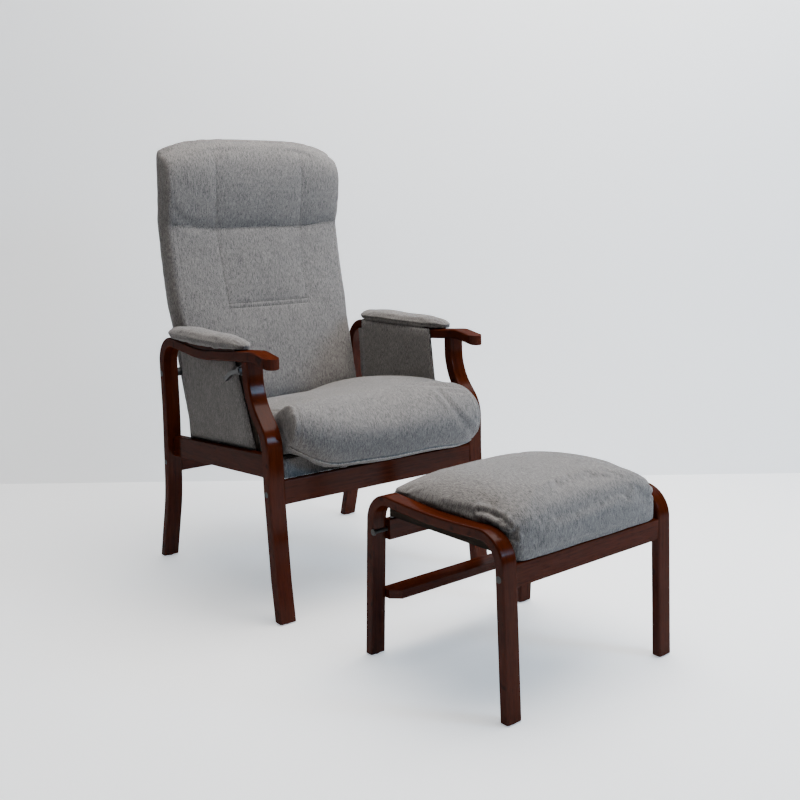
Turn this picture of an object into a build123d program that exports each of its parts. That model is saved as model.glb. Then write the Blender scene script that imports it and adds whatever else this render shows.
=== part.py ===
from build123d import *
import math
import os

# Reclining armchair with a bent laminated frame, and its footstool.
# The chair is drawn with x = 0 on its centre line, z = 0 on the floor and
# y = 0 at the front of its front feet, +y to the rear. It is then moved along y,
# so that the origin lies midway between the front and rear ends of the set.
# Left and right are those of the sitter, who faces -y: left is +x.

# Soft forms: where their sections lie across the half width, and how late the sides draw in
station_shares = (1.0, 0.96, 0.91, 0.83, 0.72, 0.58, 0.4, 0.2)
side_power = 20

# Clearances and cuts
cushion_side_gap = 2.6
soft_gap = 0.3
bolt_gap = 0.2
running_gap = 0.05
slide_gap = 0.3
overrun = 20.0

# Chair frame: widths and sections
chair_width = 640.0
leg_width = 42.4
leg_edge_radius = 4.0
rear_leg_thickness = 24.0
front_leg_thickness = 28.0
rail_thickness = 22.4
rail_edge_radius = 2.0
glide_radius = 9.0
glide_height = 3.0

# Rear leg and arm: centre line of one bent strip, from the rear foot to the arm's tip
rear_foot_y = 652.0
rear_knee_y = 595.0
rear_knee_z = 190.0
rear_waist_y = 577.0
rear_waist_z = 420.0
arm_corner_y = 574.0
arm_corner_z = 621.0
arm_dip_y = 345.0
arm_dip_z = 600.0
arm_crest_y = 80.0
arm_crest_z = 622.5
arm_tip_y = 10.0
arm_tip_z = 610.0
rear_knee_radius = 500.0
rear_waist_radius = 900.0
arm_corner_radius = 62.0
arm_dip_radius = 500.0
arm_crest_radius = 70.0

# Front leg: centre line from the foot up to the underside of the arm
front_foot_y = 11.4
front_ankle_y = 24.0
front_ankle_z = 100.0
front_knee_y = 38.0
front_knee_z = 320.0
front_bend_z = 438.0
front_shoulder_y = 113.0
front_shoulder_z = 522.0
front_ankle_radius = 500.0
front_knee_radius = 600.0
front_bend_radius = 80.0
front_shoulder_radius = 150.0

# Cross rails
front_rail_setback = 2.5
front_rail_bottom_z = 279.8
front_rail_height = 56.8
rear_rail_bottom_z = 254.7
rear_rail_height = 56.0
cross_rail_thickness = 20.0

# Direction in which the seat slides: it rises towards the front
slide_tilt = 4.35
slide_start_y = 45.0
slide_start_z = 338.5
side_rail_low = 1.0
side_rail_height = 55.0

# Frame bolts
bolt_radius = 4.0
bolt_head_radius = 7.0
bolt_head_height = 4.0
bolt_length = 70.0

# Arm pads and the blocks under them
pad_front_y = 131.0
pad_rear_y = 525.0
pad_width = 84.0
pad_bottom_z = 630.6
pad_height = 27.0
pad_block_width = 34.0
pad_block_inset = 34.0
pad_station_shares = (0.0, 0.03, 0.12, 0.3, 0.55, 0.8, 0.94, 0.985, 1.0)
pad_width_shares = (0.16, 0.42, 0.7, 0.93, 1.0, 0.96, 0.76, 0.5, 0.2)
pad_height_shares = (0.4, 0.72, 0.9, 0.99, 1.0, 0.99, 0.92, 0.76, 0.45)
pad_side_share = 0.45
pad_foot_share = 0.72
pad_screw_radius = 2.5
pad_screw_head_radius = 5.0
pad_screw_head_height = 2.0
pad_screw_length = 34.0
pad_screw_inset = 60.0

# Side panels: a board on the inner faces of the frame, padded on both sides
side_board_thickness = 5.0
inner_padding = 8.0
outer_padding = 10.4
panel_edge_radius = 3.0
panel_bottom = 42.0
panel_front_top_y = 181.0
panel_front_mid_y = 163.0
panel_front_mid_z = 494.0
panel_front_low_y = 136.0
panel_rear_y = 500.0
board_inset = 4.0
outer_panel_top_y = 232.0
outer_panel_mid_y = 184.0
outer_panel_mid_z = 482.0
outer_panel_low_y = 148.0
outer_panel_rear_top_y = 530.0
outer_panel_rear_mid_y = 524.0
outer_panel_rear_mid_z = 468.0
outer_panel_rear_low_y = 505.0
outer_panel_rear_low_z = 411.0

# Backrest
back_top_z = 1134.0
back_bottom_z = 432.0
head_seam_share = 0.6738
back_front_bottom_y = 505.0
back_front_low_y = 529.0
back_front_low_share = 0.1823
back_front_lumbar_y = 560.0
back_front_lumbar_share = 0.3746
back_front_chest_y = 583.0
back_front_chest_share = 0.5242
back_front_seam_y = 600.0
back_front_head_y = 582.0
back_front_head_share = 0.7806
back_front_brow_y = 575.0
back_front_brow_share = 0.8832
back_front_crown_y = 580.0
back_front_crown_share = 0.9288
back_cap_front_y = 625.0
back_cap_rear_y = 656.5
back_cap_share = 0.9
back_rear_crown_y = 665.0
back_rear_crown_share = 0.8419
back_rear_head_y = 676.0
back_rear_head_share = 0.7094
back_rear_mid_y = 663.0
back_rear_mid_share = 0.4986
back_rear_low_y = 633.0
back_rear_low_share = 0.292
back_rear_waist_y = 603.0
back_rear_waist_share = 0.1339
back_rear_bottom_y = 576.0
back_side_inset = 6.0
back_side_drop = 37.0
back_crown = 9.5
back_drop_power = 3.5

# Backrest frame
back_frame_thickness = 34.0
back_member_width = 30.0
back_member_depth = 26.0
back_member_height = 40.0
back_frame_pivot_set = 5.9
back_frame_lean_share = 0.2642
back_frame_low_share = 0.0214
back_frame_waist_share = 0.2963
back_frame_rear_set = 19.0
back_frame_chest_share = 0.6738
back_frame_top_set = 33.0
back_frame_top_share = 0.8803
back_frame_waist_radius = 300.0
back_frame_chest_radius = 400.0
back_frame_margin = 12.0
back_cover_thickness = 2.5
strap_thickness = 2.0
back_strap_height = 50.0
back_strap_shares = (0.14, 0.31, 0.48, 0.65, 0.82)
back_member_shares = (0.035, 0.93)

# Recliner pivot, bracket and the slot that pushes the seat
pivot_z = 526.0
pivot_radius = 5.0
pivot_head_radius = 8.0
pivot_head_height = 4.0
pivot_inner_reach = 16.0
spacer_radius = 11.0
bracket_thickness = 4.0
bracket_width = 24.0
bracket_side_gap = 6.0
recline_angle = 18.0
link_pin_radius = 4.0
link_slack = 2.2
link_pin_inset = 14.0
link_pin_height = 22.0
link_pin_seat = 8.0
link_pin_overlap = 4.0

# Seat frame, in the slide's own directions
seat_frame_rear_gap = 22.0
seat_member_width = 28.0
seat_member_height = 45.0
seat_strap_width = 38.0
seat_strap_count = 7
base_cover_thickness = 2.0
base_cover_lip = 1.0

# Seat slides: a tongue on the seat in a channel on each side rail
channel_height = 24.0
channel_low = 16.0
channel_front = 40.0
channel_rear_inset = 10.0
channel_wall = 3.0
tongue_height = 12.0
tongue_front = 110.0
tongue_rear_inset = 80.0

# Seat cushion: its side view, in the slide's own directions
cushion_nose_front = 93.0
cushion_nose_mid_height = 76.0
cushion_nose_low_front = 42.0
cushion_nose_low_height = 10.0
cushion_nose_root_height = 13.0
cushion_brow_back = 14.0
cushion_brow_height = 162.0
cushion_mid_back_share = 0.45
cushion_mid_height = 162.0
cushion_rear_inset = 75.0
cushion_rear_height = 140.0
cushion_end_inset = 65.0
cushion_end_height = 95.0
cushion_side_inset = 22.0
cushion_corner_tuck = 46.0
cushion_tuck_power = 8
cushion_crown = 12.0

# Lockable gas spring under the seat
spring_radius = 11.0
spring_drop = 16.0
spring_front = 30.0
spring_length = 200.0
spring_bore_front = 45.0
spring_rod_radius = 5.0
spring_rod_front = 120.0
spring_eye_radius = 8.0
spring_eye_width = 11.6
spring_pin_radius = 4.0
spring_pin_overlap = 2.0
spring_front_eye = 22.0
lug_thickness = 3.0
lug_plate_thickness = 4.0
lug_plate_width = 40.0
lug_plate_height = 42.0

# Release lever under the right arm
lever_rear_waist_y = 183.0
lever_pivot_z = 577.0
lever_knee_y = 226.0
lever_knee_z = 566.0
lever_tip_y = 253.0
lever_tip_z = 549.0
lever_thickness = 8.0
lever_width = 10.0
lever_hub_radius = 10.0
lever_housing_radius = 12.0
lever_housing_depth = 13.8
lever_pin_radius = 3.0
lever_cap_height = 2.0
lever_cap_radius = 6.0

# Footstool
stool_front_y = -685.5
stool_offset_x = 6.8
stool_turn = 2.0
stool_width = 489.0
stool_leg_width = 37.6
stool_leg_thickness = 22.0
stool_edge_radius = 4.0
stool_front_foot_y = 11.0
stool_front_corner_y = 27.0
stool_front_corner_z = 361.0
stool_rear_foot_y = 433.0
stool_rear_corner_y = 413.0
stool_rear_corner_z = 364.5
stool_corner_radius = 55.0
stool_saddle_drop = 11.0
stool_saddle_radius = 1600.0
stool_rail_setback = 15.0
stool_rail_bottom_z = 262.0
stool_rail_height = 45.0
stool_rail_thickness = 20.0
stool_rear_rail_y = 395.0
stretcher_front_y = 383.0
stretcher_rear_y = 431.0
stretcher_bottom_z = 128.4
stretcher_height = 19.0
stretcher_chamfer = 20.0
batten_width = 20.0
batten_bottom_z = 316.0
batten_height = 17.0
deck_thickness = 10.0
stool_glide_radius = 8.0
stool_cushion_middle_z = 424.5
stool_cushion_side_fall = 33.0
stool_cushion_fall_power = 6
stool_cushion_front_y = 13.0
stool_cushion_rear_y = 417.0
stool_cushion_front_brow = 38.0
stool_cushion_front_brow_fall = 4.0
stool_cushion_front_curve = 42.0
stool_cushion_rear_brow = 48.0
stool_cushion_rear_brow_fall = 28.0
stool_cushion_side_inset = 22.0

# Places worked out from the sizes above
leg_outer_x = chair_width / 2
leg_inner_x = leg_outer_x - leg_width
leg_centre_x = leg_outer_x - leg_width / 2
board_outer_x = leg_inner_x
board_inner_x = board_outer_x - side_board_thickness
inner_panel_x = board_inner_x - inner_padding
cushion_half = inner_panel_x - cushion_side_gap
bracket_outer_x = cushion_half - back_frame_margin
bracket_inner_x = bracket_outer_x - bracket_thickness
seat_frame_half = bracket_inner_x - bracket_side_gap
seat_frame_length = rear_waist_y - seat_frame_rear_gap - slide_start_y
stool_half = stool_width / 2
stool_inner_x = stool_half - stool_leg_width
stool_centre_x = stool_half - stool_leg_width / 2
deck_bottom_z = batten_bottom_z + batten_height
deck_top_z = deck_bottom_z + deck_thickness
stool_reach = -stool_front_y + stool_half * math.sin(math.radians(stool_turn))
chair_front_y = (stool_reach - back_rear_head_y) / 2
slide_place = Pos(0, slide_start_y, slide_start_z) * Rot(-slide_tilt, 0, 0)
stool_place = Pos(stool_offset_x, stool_front_y, 0) * Rot(0, 0, stool_turn)

rear_leg_points = [
    (rear_foot_y, 0),
    (rear_knee_y, rear_knee_z),
    (rear_waist_y, rear_waist_z),
    (arm_corner_y, arm_corner_z),
    (arm_dip_y, arm_dip_z),
    (arm_crest_y, arm_crest_z),
    (arm_tip_y, arm_tip_z),
]
front_leg_points = [
    (front_foot_y, 0),
    (front_ankle_y, front_ankle_z),
    (front_knee_y, front_knee_z),
    (front_knee_y, front_bend_z),
    (front_shoulder_y, front_shoulder_z),
    (front_shoulder_y, arm_crest_z),
]


def save(name, shape, place=Pos(0, chair_front_y, 0)):
    """Write one named piece, moved from the drawing's place to the set's."""
    export_step(place * shape, "parts/" + name + ".step")


def save_pair(name, left_shape, place=Pos(0, chair_front_y, 0)):
    """Write a left piece and its mirror image on the right."""
    save(name + "_left", left_shape, place)
    save(name + "_right", mirror(left_shape, about=Plane.YZ), place)


def block(x_from, x_to, y_from, y_to, z_from, z_to):
    """A box given by its limits."""
    size = Box(x_to - x_from, y_to - y_from, z_to - z_from)
    return Pos((x_from + x_to) / 2, (y_from + y_to) / 2, (z_from + z_to) / 2) * size


def pair_of(shape):
    """A piece at +x with its mirror image, as separate solids of one node."""
    return Compound(children=[shape, mirror(shape, about=Plane.YZ)])


def beyond(start, other, distance):
    """The point past start, in the line that comes from other."""
    dy = start[0] - other[0]
    dz = start[1] - other[1]
    length = math.hypot(dy, dz)
    return (start[0] + dy / length * distance, start[1] + dz / length * distance)


def line_y(start, end, z):
    """The y at which the line from start to end reaches the height z."""
    return start[0] + (end[0] - start[0]) * (z - start[1]) / (end[1] - start[1])


def line_z(start, end, y):
    """The z at which the line from start to end reaches the depth y."""
    return start[1] + (end[1] - start[1]) * (y - start[0]) / (end[0] - start[0])


def strip_path(points, radii):
    """A centre line in the plane x = 0 with rounded corners."""
    return FilletPolyline(*[(0, y, z) for y, z in points], radius=radii)


def path_plane(path, share):
    """The plane across a path: local x is x, local z runs along the path."""
    return Plane(origin=path @ share, x_dir=(1, 0, 0), z_dir=path % share)


def bent_strip(path, section):
    """A strip with one section all along its centre line."""
    return sweep(path_plane(path, 0) * section, path=path)


def face_plane(start, end, offset):
    """The plane beside the line from start to end, offset towards its left."""
    dy = end[0] - start[0]
    dz = end[1] - start[1]
    length = math.hypot(dy, dz)
    normal = (0, -dz / length, dy / length)
    origin = (0, start[0] + normal[1] * offset, start[1] + normal[2] * offset)
    return Plane(origin=origin, x_dir=(1, 0, 0), z_dir=normal)


def rod(x_from, x_to, y, z, radius):
    """A round bar along x."""
    return extrude(Plane.YZ.offset(x_from) * Pos(y, z) * Circle(radius), amount=x_to - x_from)


def bar(start, end, width):
    """A flat bar's outline between two points of the side view, with round ends."""
    dy = end[0] - start[0]
    dz = end[1] - start[1]
    middle = Pos((start[0] + end[0]) / 2, (start[1] + end[1]) / 2)
    turn = Rot(0, 0, math.degrees(math.atan2(dz, dy)))
    return middle * turn * SlotCenterToCenter(math.hypot(dy, dz), width)


def side_plate(outline, x_from, x_to):
    """A plate of the given side view between two x positions."""
    return extrude(Plane.YZ.offset(x_from) * outline, amount=x_to - x_from)


def side_outline(points):
    """A closed outline of the side view."""
    return make_face(Polyline(*points, close=True))


def slide_point(back, height):
    """A point of the chair's side view from its place along and above the slide."""
    tilt = math.radians(slide_tilt)
    y = slide_start_y + back * math.cos(tilt) + height * math.sin(tilt)
    z = slide_start_z - back * math.sin(tilt) + height * math.cos(tilt)
    return (y, z)


front_bolt = (
    line_y(front_leg_points[1], front_leg_points[2], front_rail_bottom_z + front_rail_height / 2),
    front_rail_bottom_z + front_rail_height / 2,
)
rear_bolt = (
    line_y(rear_leg_points[1], rear_leg_points[2], rear_rail_bottom_z + rear_rail_height / 2),
    rear_rail_bottom_z + rear_rail_height / 2,
)
pivot = (rear_waist_y, pivot_z)


def bolt_hole(point, head_radius, head_height, radius):
    """The stepped hole of a bolt through a left leg and into what lies inside it."""
    shank = rod(leg_inner_x - overrun, leg_outer_x, *point, radius + bolt_gap)
    recess = rod(leg_outer_x - head_height, leg_outer_x + overrun, *point, head_radius + bolt_gap)
    return shank + recess


# Bent frame


def arm_and_rear_leg():
    """Rear leg and arm, one strip bent through a right angle, with a round tip."""
    points = list(rear_leg_points)
    points[0] = beyond(points[0], points[1], overrun)
    points[-1] = beyond(points[-1], points[-2], overrun)
    radii = [
        rear_knee_radius,
        rear_waist_radius,
        arm_corner_radius,
        arm_dip_radius,
        arm_crest_radius,
    ]
    section = RectangleRounded(leg_width, rear_leg_thickness, leg_edge_radius)
    strip = Pos(leg_centre_x, 0, 0) * bent_strip(strip_path(points, radii), section)
    tip_radius = leg_width / 2
    plan = Pos(leg_centre_x, arm_tip_y + tip_radius) * Circle(tip_radius)
    straight = rear_foot_y + overrun - arm_tip_y
    plan += Pos(leg_centre_x, arm_tip_y + tip_radius + straight / 2) * Rectangle(leg_width, straight)
    strip = strip & extrude(plan, amount=arm_crest_z + overrun)
    strip = split(strip, bisect_by=Plane.XY.offset(glide_height), keep=Keep.TOP)
    strip -= bolt_hole(rear_bolt, bolt_head_radius, bolt_head_height, bolt_radius)
    strip -= bolt_hole(pivot, pivot_head_radius, pivot_head_height, pivot_radius)
    for y in pad_screw_places():
        strip -= pad_screw_hole(y)
    return strip


def arm_underside(y, gap):
    """Height of the arm's underside between its dip and its crest, less a gap."""
    half = rear_leg_thickness / 2
    if y < arm_dip_y:
        start, end = rear_leg_points[4], rear_leg_points[5]
    else:
        start, end = rear_leg_points[3], rear_leg_points[4]
    length = math.hypot(end[0] - start[0], end[1] - start[1])
    return line_z(start, end, y) - half * length / abs(end[0] - start[0]) - gap


def front_leg():
    """Front leg, bent like a long S, cut flush to the underside of the arm."""
    points = list(front_leg_points)
    points[0] = beyond(points[0], points[1], overrun)
    radii = [
        front_ankle_radius,
        front_knee_radius,
        front_bend_radius,
        front_shoulder_radius,
    ]
    section = RectangleRounded(leg_width, front_leg_thickness, leg_edge_radius)
    strip = Pos(leg_centre_x, 0, 0) * bent_strip(strip_path(points, radii), section)
    strip = split(strip, bisect_by=Plane.XY.offset(glide_height), keep=Keep.TOP)
    under_arm = face_plane(rear_leg_points[4], rear_leg_points[5], rear_leg_thickness / 2)
    strip = split(strip, bisect_by=under_arm, keep=Keep.TOP)
    return strip - bolt_hole(front_bolt, bolt_head_radius, bolt_head_height, bolt_radius)


def side_rail():
    """Side rail, parallel to the slide, cut to the faces of both legs."""
    outer = leg_inner_x + rail_thickness
    rail = block(leg_inner_x, outer, -overrun, rear_foot_y,
                 side_rail_low, side_rail_low + side_rail_height)
    rail = slide_place * rail
    front_face = Plane.XZ.offset(-front_knee_y - front_leg_thickness / 2)
    rail = split(rail, bisect_by=front_face, keep=Keep.BOTTOM)
    rear_face = face_plane(rear_leg_points[1], rear_leg_points[2], rear_leg_thickness / 2)
    rail = split(rail, bisect_by=rear_face, keep=Keep.TOP)
    return fillet(rail.edges().filter_by(lambda e: e.length > side_rail_height * 2), rail_edge_radius)


def cross_rail(point, y_from, bottom_z, height):
    """A rail between the left and right legs, with a bolt hole in each end."""
    rail = block(-leg_inner_x, leg_inner_x, y_from, y_from + cross_rail_thickness,
                 bottom_z, bottom_z + height)
    rail = fillet(rail.edges().filter_by(Axis.X), rail_edge_radius)
    reach = leg_outer_x - bolt_head_height - bolt_length
    hole = rod(reach, leg_outer_x, *point, bolt_radius + bolt_gap)
    return rail - hole - mirror(hole, about=Plane.YZ)


def head_bolt(point, head_radius, head_height, radius, length):
    """A bolt whose head lies flush in the left leg's outer face."""
    under_head = leg_outer_x - head_height
    head = rod(under_head, leg_outer_x, *point, head_radius)
    return head + rod(under_head - length, under_head, *point, radius)


def make_frame():
    """The bent frame with its rails, bolts and glides."""
    save_pair("arm_and_rear_leg", arm_and_rear_leg())
    save_pair("front_leg", front_leg())
    save_pair("side_rail", side_rail())
    front_face_y = front_bolt[0] - front_leg_thickness / 2 + front_rail_setback
    save("front_rail", cross_rail(front_bolt, front_face_y, front_rail_bottom_z, front_rail_height))
    rear_face_y = rear_bolt[0] - cross_rail_thickness / 2
    save("rear_rail", cross_rail(rear_bolt, rear_face_y, rear_rail_bottom_z, rear_rail_height))
    bolts = []
    for point in (front_bolt, rear_bolt):
        bolt = head_bolt(point, bolt_head_radius, bolt_head_height, bolt_radius, bolt_length)
        bolts += [bolt, mirror(bolt, about=Plane.YZ)]
    save("frame_bolts", Compound(children=bolts))
    glides = []
    for foot_y in (front_foot_y, rear_foot_y):
        glide = Pos(leg_centre_x, foot_y, glide_height / 2) * Cylinder(glide_radius, glide_height)
        glides += [glide, mirror(glide, about=Plane.YZ)]
    save("foot_glides", Compound(children=glides))


# Arm pads


def pad_screw_places():
    """Places along y of the two screws that hold a pad's block."""
    return (pad_front_y + pad_screw_inset, pad_rear_y - pad_screw_inset)


def pad_screw_head_z(y):
    """Height of the underside of a pad screw's head."""
    return arm_underside(y, 0)


def pad_screw_hole(y):
    """The hole in the arm for a pad screw, with room for the head."""
    under = pad_screw_head_z(y)
    shank = Pos(leg_centre_x, y, under) * Cylinder(pad_screw_radius + bolt_gap, pad_screw_length * 2)
    head_room = Pos(leg_centre_x, y, under) * Cylinder(
        pad_screw_head_radius + bolt_gap, pad_screw_head_height * 2)
    return shank + head_room


def pad_screw(y):
    """A screw up through the arm into the pad's block."""
    under = pad_screw_head_z(y)
    head = Pos(leg_centre_x, y, under + pad_screw_head_height / 2) * Cylinder(
        pad_screw_head_radius, pad_screw_head_height)
    shank = Pos(leg_centre_x, y, under + pad_screw_head_height + pad_screw_length / 2) * Cylinder(
        pad_screw_radius, pad_screw_length)
    return head + shank


def pad_block():
    """The block that fills the arm's dip and carries the pad."""
    half = pad_block_width / 2
    body = block(leg_centre_x - half, leg_centre_x + half, pad_front_y + pad_block_inset,
                 pad_rear_y - pad_block_inset, arm_dip_z, pad_bottom_z)
    points = [rear_leg_points[3], rear_leg_points[4], rear_leg_points[5]]
    path = strip_path(points, [arm_dip_radius])
    below = pad_bottom_z - arm_dip_z
    shift = Pos(0, rear_leg_thickness / 2 - below)
    section = shift * Rectangle(leg_width, below * 2)
    body -= Pos(leg_centre_x, 0, 0) * bent_strip(path, section)
    for y in pad_screw_places():
        body -= Pos(leg_centre_x, y, arm_dip_z) * Cylinder(
            pad_screw_radius + bolt_gap, pad_screw_length * 2)
    return body


def pad_section(width, height):
    """The pad's section: a flat foot, swelling sides and a domed top."""
    half = width / 2
    foot = half * pad_foot_share
    side = height * pad_side_share
    bulge = half - (half - foot) * pad_side_share / 2
    outline = [
        Line((-foot, 0), (foot, 0)),
        ThreePointArc((foot, 0), (bulge, side / 2), (half, side)),
        ThreePointArc((half, side), (0, height), (-half, side)),
        ThreePointArc((-half, side), (-bulge, side / 2), (-foot, 0)),
    ]
    return make_face(Wire(outline))


def arm_pad():
    """A long padded cushion with narrow rounded ends."""
    length = pad_rear_y - pad_front_y
    sections = []
    for station, width, height in zip(pad_station_shares, pad_width_shares, pad_height_shares):
        y = pad_front_y + length * station
        plane = Plane(origin=(leg_centre_x, y, pad_bottom_z + soft_gap), x_dir=(1, 0, 0), z_dir=(0, -1, 0))
        sections.append(plane * pad_section(pad_width * width, pad_height * height))
    pad = loft(sections)
    for y in pad_screw_places():
        pad -= Pos(leg_centre_x, y, pad_bottom_z) * Cylinder(
            pad_screw_radius + bolt_gap, pad_screw_length)
    return pad


def make_arm_pads():
    """Pads, their blocks and the screws from below the arms."""
    save_pair("arm_pad", arm_pad())
    save("arm_pad_blocks", pair_of(pad_block()))
    screws = []
    for y in pad_screw_places():
        screws += [pad_screw(y), mirror(pad_screw(y), about=Plane.YZ)]
    save("arm_pad_screws", Compound(children=screws))


# Side panels


def arm_room():
    """The arm's strip, made thicker by a gap, to be cut out of what lies under it."""
    path = strip_path(rear_leg_points[2:6], [arm_corner_radius, arm_dip_radius])
    section = Rectangle(leg_width, rear_leg_thickness + soft_gap * 2)
    return Pos(leg_centre_x, 0, 0) * bent_strip(path, section)


def inner_outline(inset):
    """Side view of the board and its inner padding, drawn in by an inset."""
    top = pad_bottom_z - soft_gap - inset
    low_front = slide_point(0, panel_bottom + inset)
    low_rear = slide_point(seat_frame_length, panel_bottom + inset)
    return side_outline([
        (panel_front_top_y + inset, top),
        (panel_front_mid_y + inset, panel_front_mid_z),
        (panel_front_low_y + inset, line_z(low_front, low_rear, panel_front_low_y + inset)),
        (panel_rear_y - inset, line_z(low_front, low_rear, panel_rear_y - inset)),
        (panel_rear_y - inset, top),
    ])


def outer_outline():
    """Side view of the outer padding, between the arm and the side rail."""
    rail_top = side_rail_low + side_rail_height + soft_gap
    low_front = slide_point(0, rail_top)
    low_rear = slide_point(seat_frame_length, rail_top)
    return side_outline([
        (outer_panel_top_y, arm_underside(outer_panel_top_y, soft_gap)),
        (outer_panel_mid_y, outer_panel_mid_z),
        (outer_panel_low_y, line_z(low_front, low_rear, outer_panel_low_y)),
        (outer_panel_rear_low_y, line_z(low_front, low_rear, outer_panel_rear_low_y)),
        (outer_panel_rear_low_y, outer_panel_rear_low_z),
        (outer_panel_rear_mid_y, outer_panel_rear_mid_z),
        (outer_panel_rear_top_y, arm_underside(outer_panel_rear_top_y, soft_gap)),
        (arm_dip_y, arm_underside(arm_dip_y, soft_gap)),
    ])


def soft_rim(panel, x):
    """Round the edges of a padded panel on the face at x."""
    edges = panel.edges().filter_by(lambda e: abs(e.center().X - x) < panel_edge_radius / 2)
    return fillet(edges, panel_edge_radius)


def make_side_panels():
    """Board, inner padding and outer padding on each side."""
    save_pair("side_board", side_plate(inner_outline(board_inset), board_inner_x, board_outer_x))
    inner = side_plate(inner_outline(0), inner_panel_x, board_inner_x)
    save_pair("inner_side_panel", soft_rim(inner, inner_panel_x))
    outer_x = board_outer_x + outer_padding
    outer = side_plate(outer_outline(), board_outer_x, outer_x) - arm_room()
    save_pair("outer_side_panel", soft_rim(outer, outer_x))


# Backrest


def back_z(share, drop=0):
    """A height at a share of the backrest's own, lowered above the seam in step with a drop."""
    height = back_bottom_z + (back_top_z - back_bottom_z) * share
    if share > head_seam_share:
        height -= drop * (share - head_seam_share) / (1 - head_seam_share)
    return height


def back_section(share):
    """The backrest's side view at a share of its half width."""
    x = cushion_half * share
    inset = back_side_inset * abs(share) ** side_power
    drop = back_side_drop * abs(share) ** back_drop_power
    front = inset - back_crown * (1 - share ** 2)

    def front_point(y, height_share):
        return (x, y + front, back_z(height_share, drop))

    def rear_point(y, height_share):
        return (x, y - inset, back_z(height_share, drop))

    cap_half = (back_cap_rear_y - back_cap_front_y - inset - front) / 2
    cap_height = cap_half * back_cap_share
    top = back_top_z - drop
    bottom = back_bottom_z + inset
    low_front = (x, back_front_bottom_y + front, bottom)
    lumbar = front_point(back_front_lumbar_y, back_front_lumbar_share)
    seam = front_point(back_front_seam_y, head_seam_share)
    brow = front_point(back_front_brow_y, back_front_brow_share)
    cap_front = (x, back_cap_front_y + front, top - cap_height)
    apex = (x, back_cap_front_y + front + cap_half, top)
    cap_rear = (x, back_cap_rear_y - inset, top - cap_height)
    rear_head = rear_point(back_rear_head_y, back_rear_head_share)
    rear_low = rear_point(back_rear_low_y, back_rear_low_share)
    low_rear = (x, back_rear_bottom_y - inset, bottom)
    edges = [
        ThreePointArc(low_front, front_point(back_front_low_y, back_front_low_share), lumbar),
        ThreePointArc(lumbar, front_point(back_front_chest_y, back_front_chest_share), seam),
        ThreePointArc(seam, front_point(back_front_head_y, back_front_head_share), brow),
        ThreePointArc(brow, front_point(back_front_crown_y, back_front_crown_share), cap_front),
        ThreePointArc(cap_front, apex, cap_rear),
        ThreePointArc(cap_rear, rear_point(back_rear_crown_y, back_rear_crown_share), rear_head),
        ThreePointArc(rear_head, rear_point(back_rear_mid_y, back_rear_mid_share), rear_low),
        ThreePointArc(rear_low, rear_point(back_rear_waist_y, back_rear_waist_share), low_rear),
        Line(low_rear, low_front),
    ]
    return make_face(Wire(edges))


def across(shares):
    """Shares of a half width from one side to the other, through the middle."""
    return [-share for share in shares] + [0] + list(reversed(shares))


def back_form():
    """The whole upholstered backrest: crowned, with drawn-in sides and an arched top."""
    return loft([back_section(share) for share in across(station_shares)])


def back_path():
    """Centre line of the backrest frame's side members, which passes close behind the pivot."""
    low_z = back_z(back_frame_low_share)
    waist_z = back_z(back_frame_waist_share)
    pivot_line_y = rear_waist_y + back_frame_pivot_set
    points = [
        (pivot_line_y + (low_z - pivot_z) * back_frame_lean_share, low_z),
        (pivot_line_y + (waist_z - pivot_z) * back_frame_lean_share, waist_z),
        (back_rear_head_y - back_frame_rear_set, back_z(back_frame_chest_share)),
        (back_rear_head_y - back_frame_top_set, back_z(back_frame_top_share)),
    ]
    return strip_path(points, [back_frame_waist_radius, back_frame_chest_radius])


def slot_ends():
    """Where the seat's pin lies at rest, and where it lies in the bracket at full recline."""
    pin = slide_point(seat_frame_length - link_pin_inset, link_pin_height)
    arm_y = pin[0] - rear_waist_y
    arm_z = pin[1] - pivot_z
    rest_angle = math.atan2(-arm_y, -arm_z)
    full_angle = rest_angle + math.radians(recline_angle)
    tilt = math.radians(slide_tilt)
    # The pin's line and the turned bracket's line meet where the slide has gone far enough.
    travel = (-arm_y - math.tan(full_angle) * -arm_z) / (
        -math.cos(tilt) - math.tan(full_angle) * math.sin(tilt))
    end_y = arm_y - travel * math.cos(tilt)
    end_z = arm_z + travel * math.sin(tilt)
    share = math.hypot(end_y, end_z) / math.hypot(arm_y, arm_z)
    return pin, (rear_waist_y + arm_y * share, pivot_z + arm_z * share), travel


def bracket_outline(extra):
    """Side view of the steel bracket between the pivot and the seat's pin."""
    pin, _, _ = slot_ends()
    low = beyond(pin, pivot, bracket_width / 4)
    return bar(low, pivot, bracket_width + extra * 2)


def back_bracket():
    """Steel bracket with the pivot bore and the slot that pushes the seat."""
    pin, end, _ = slot_ends()
    plate = side_plate(bracket_outline(0), bracket_inner_x, bracket_outer_x)
    bore = rod(bracket_inner_x - overrun, bracket_outer_x + overrun, *pivot, pivot_radius + running_gap)
    slot_low = beyond(pin, end, link_slack / 2)
    slot_high = beyond(end, pin, link_slack / 2)
    slot = bar(slot_low, slot_high, (link_pin_radius + link_slack) * 2)
    return plate - bore - side_plate(slot, bracket_inner_x - overrun, bracket_outer_x + overrun)


def back_side_member():
    """Curved side member of the backrest frame, bored for the pivot bolt."""
    section = RectangleRounded(back_member_width, back_frame_thickness, rail_edge_radius)
    x = bracket_inner_x - back_member_width / 2
    member = Pos(x, 0, 0) * bent_strip(back_path(), section)
    return member - rod(x - overrun * 2, bracket_outer_x, *pivot, pivot_radius + bolt_gap)


def back_cross_members():
    """The two straight members between the side members."""
    width = (bracket_inner_x - back_member_width) * 2
    members = []
    for share in back_member_shares:
        plane = path_plane(back_path(), share)
        members.append(plane.location * Box(width, back_member_depth, back_member_height))
    return members


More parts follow.
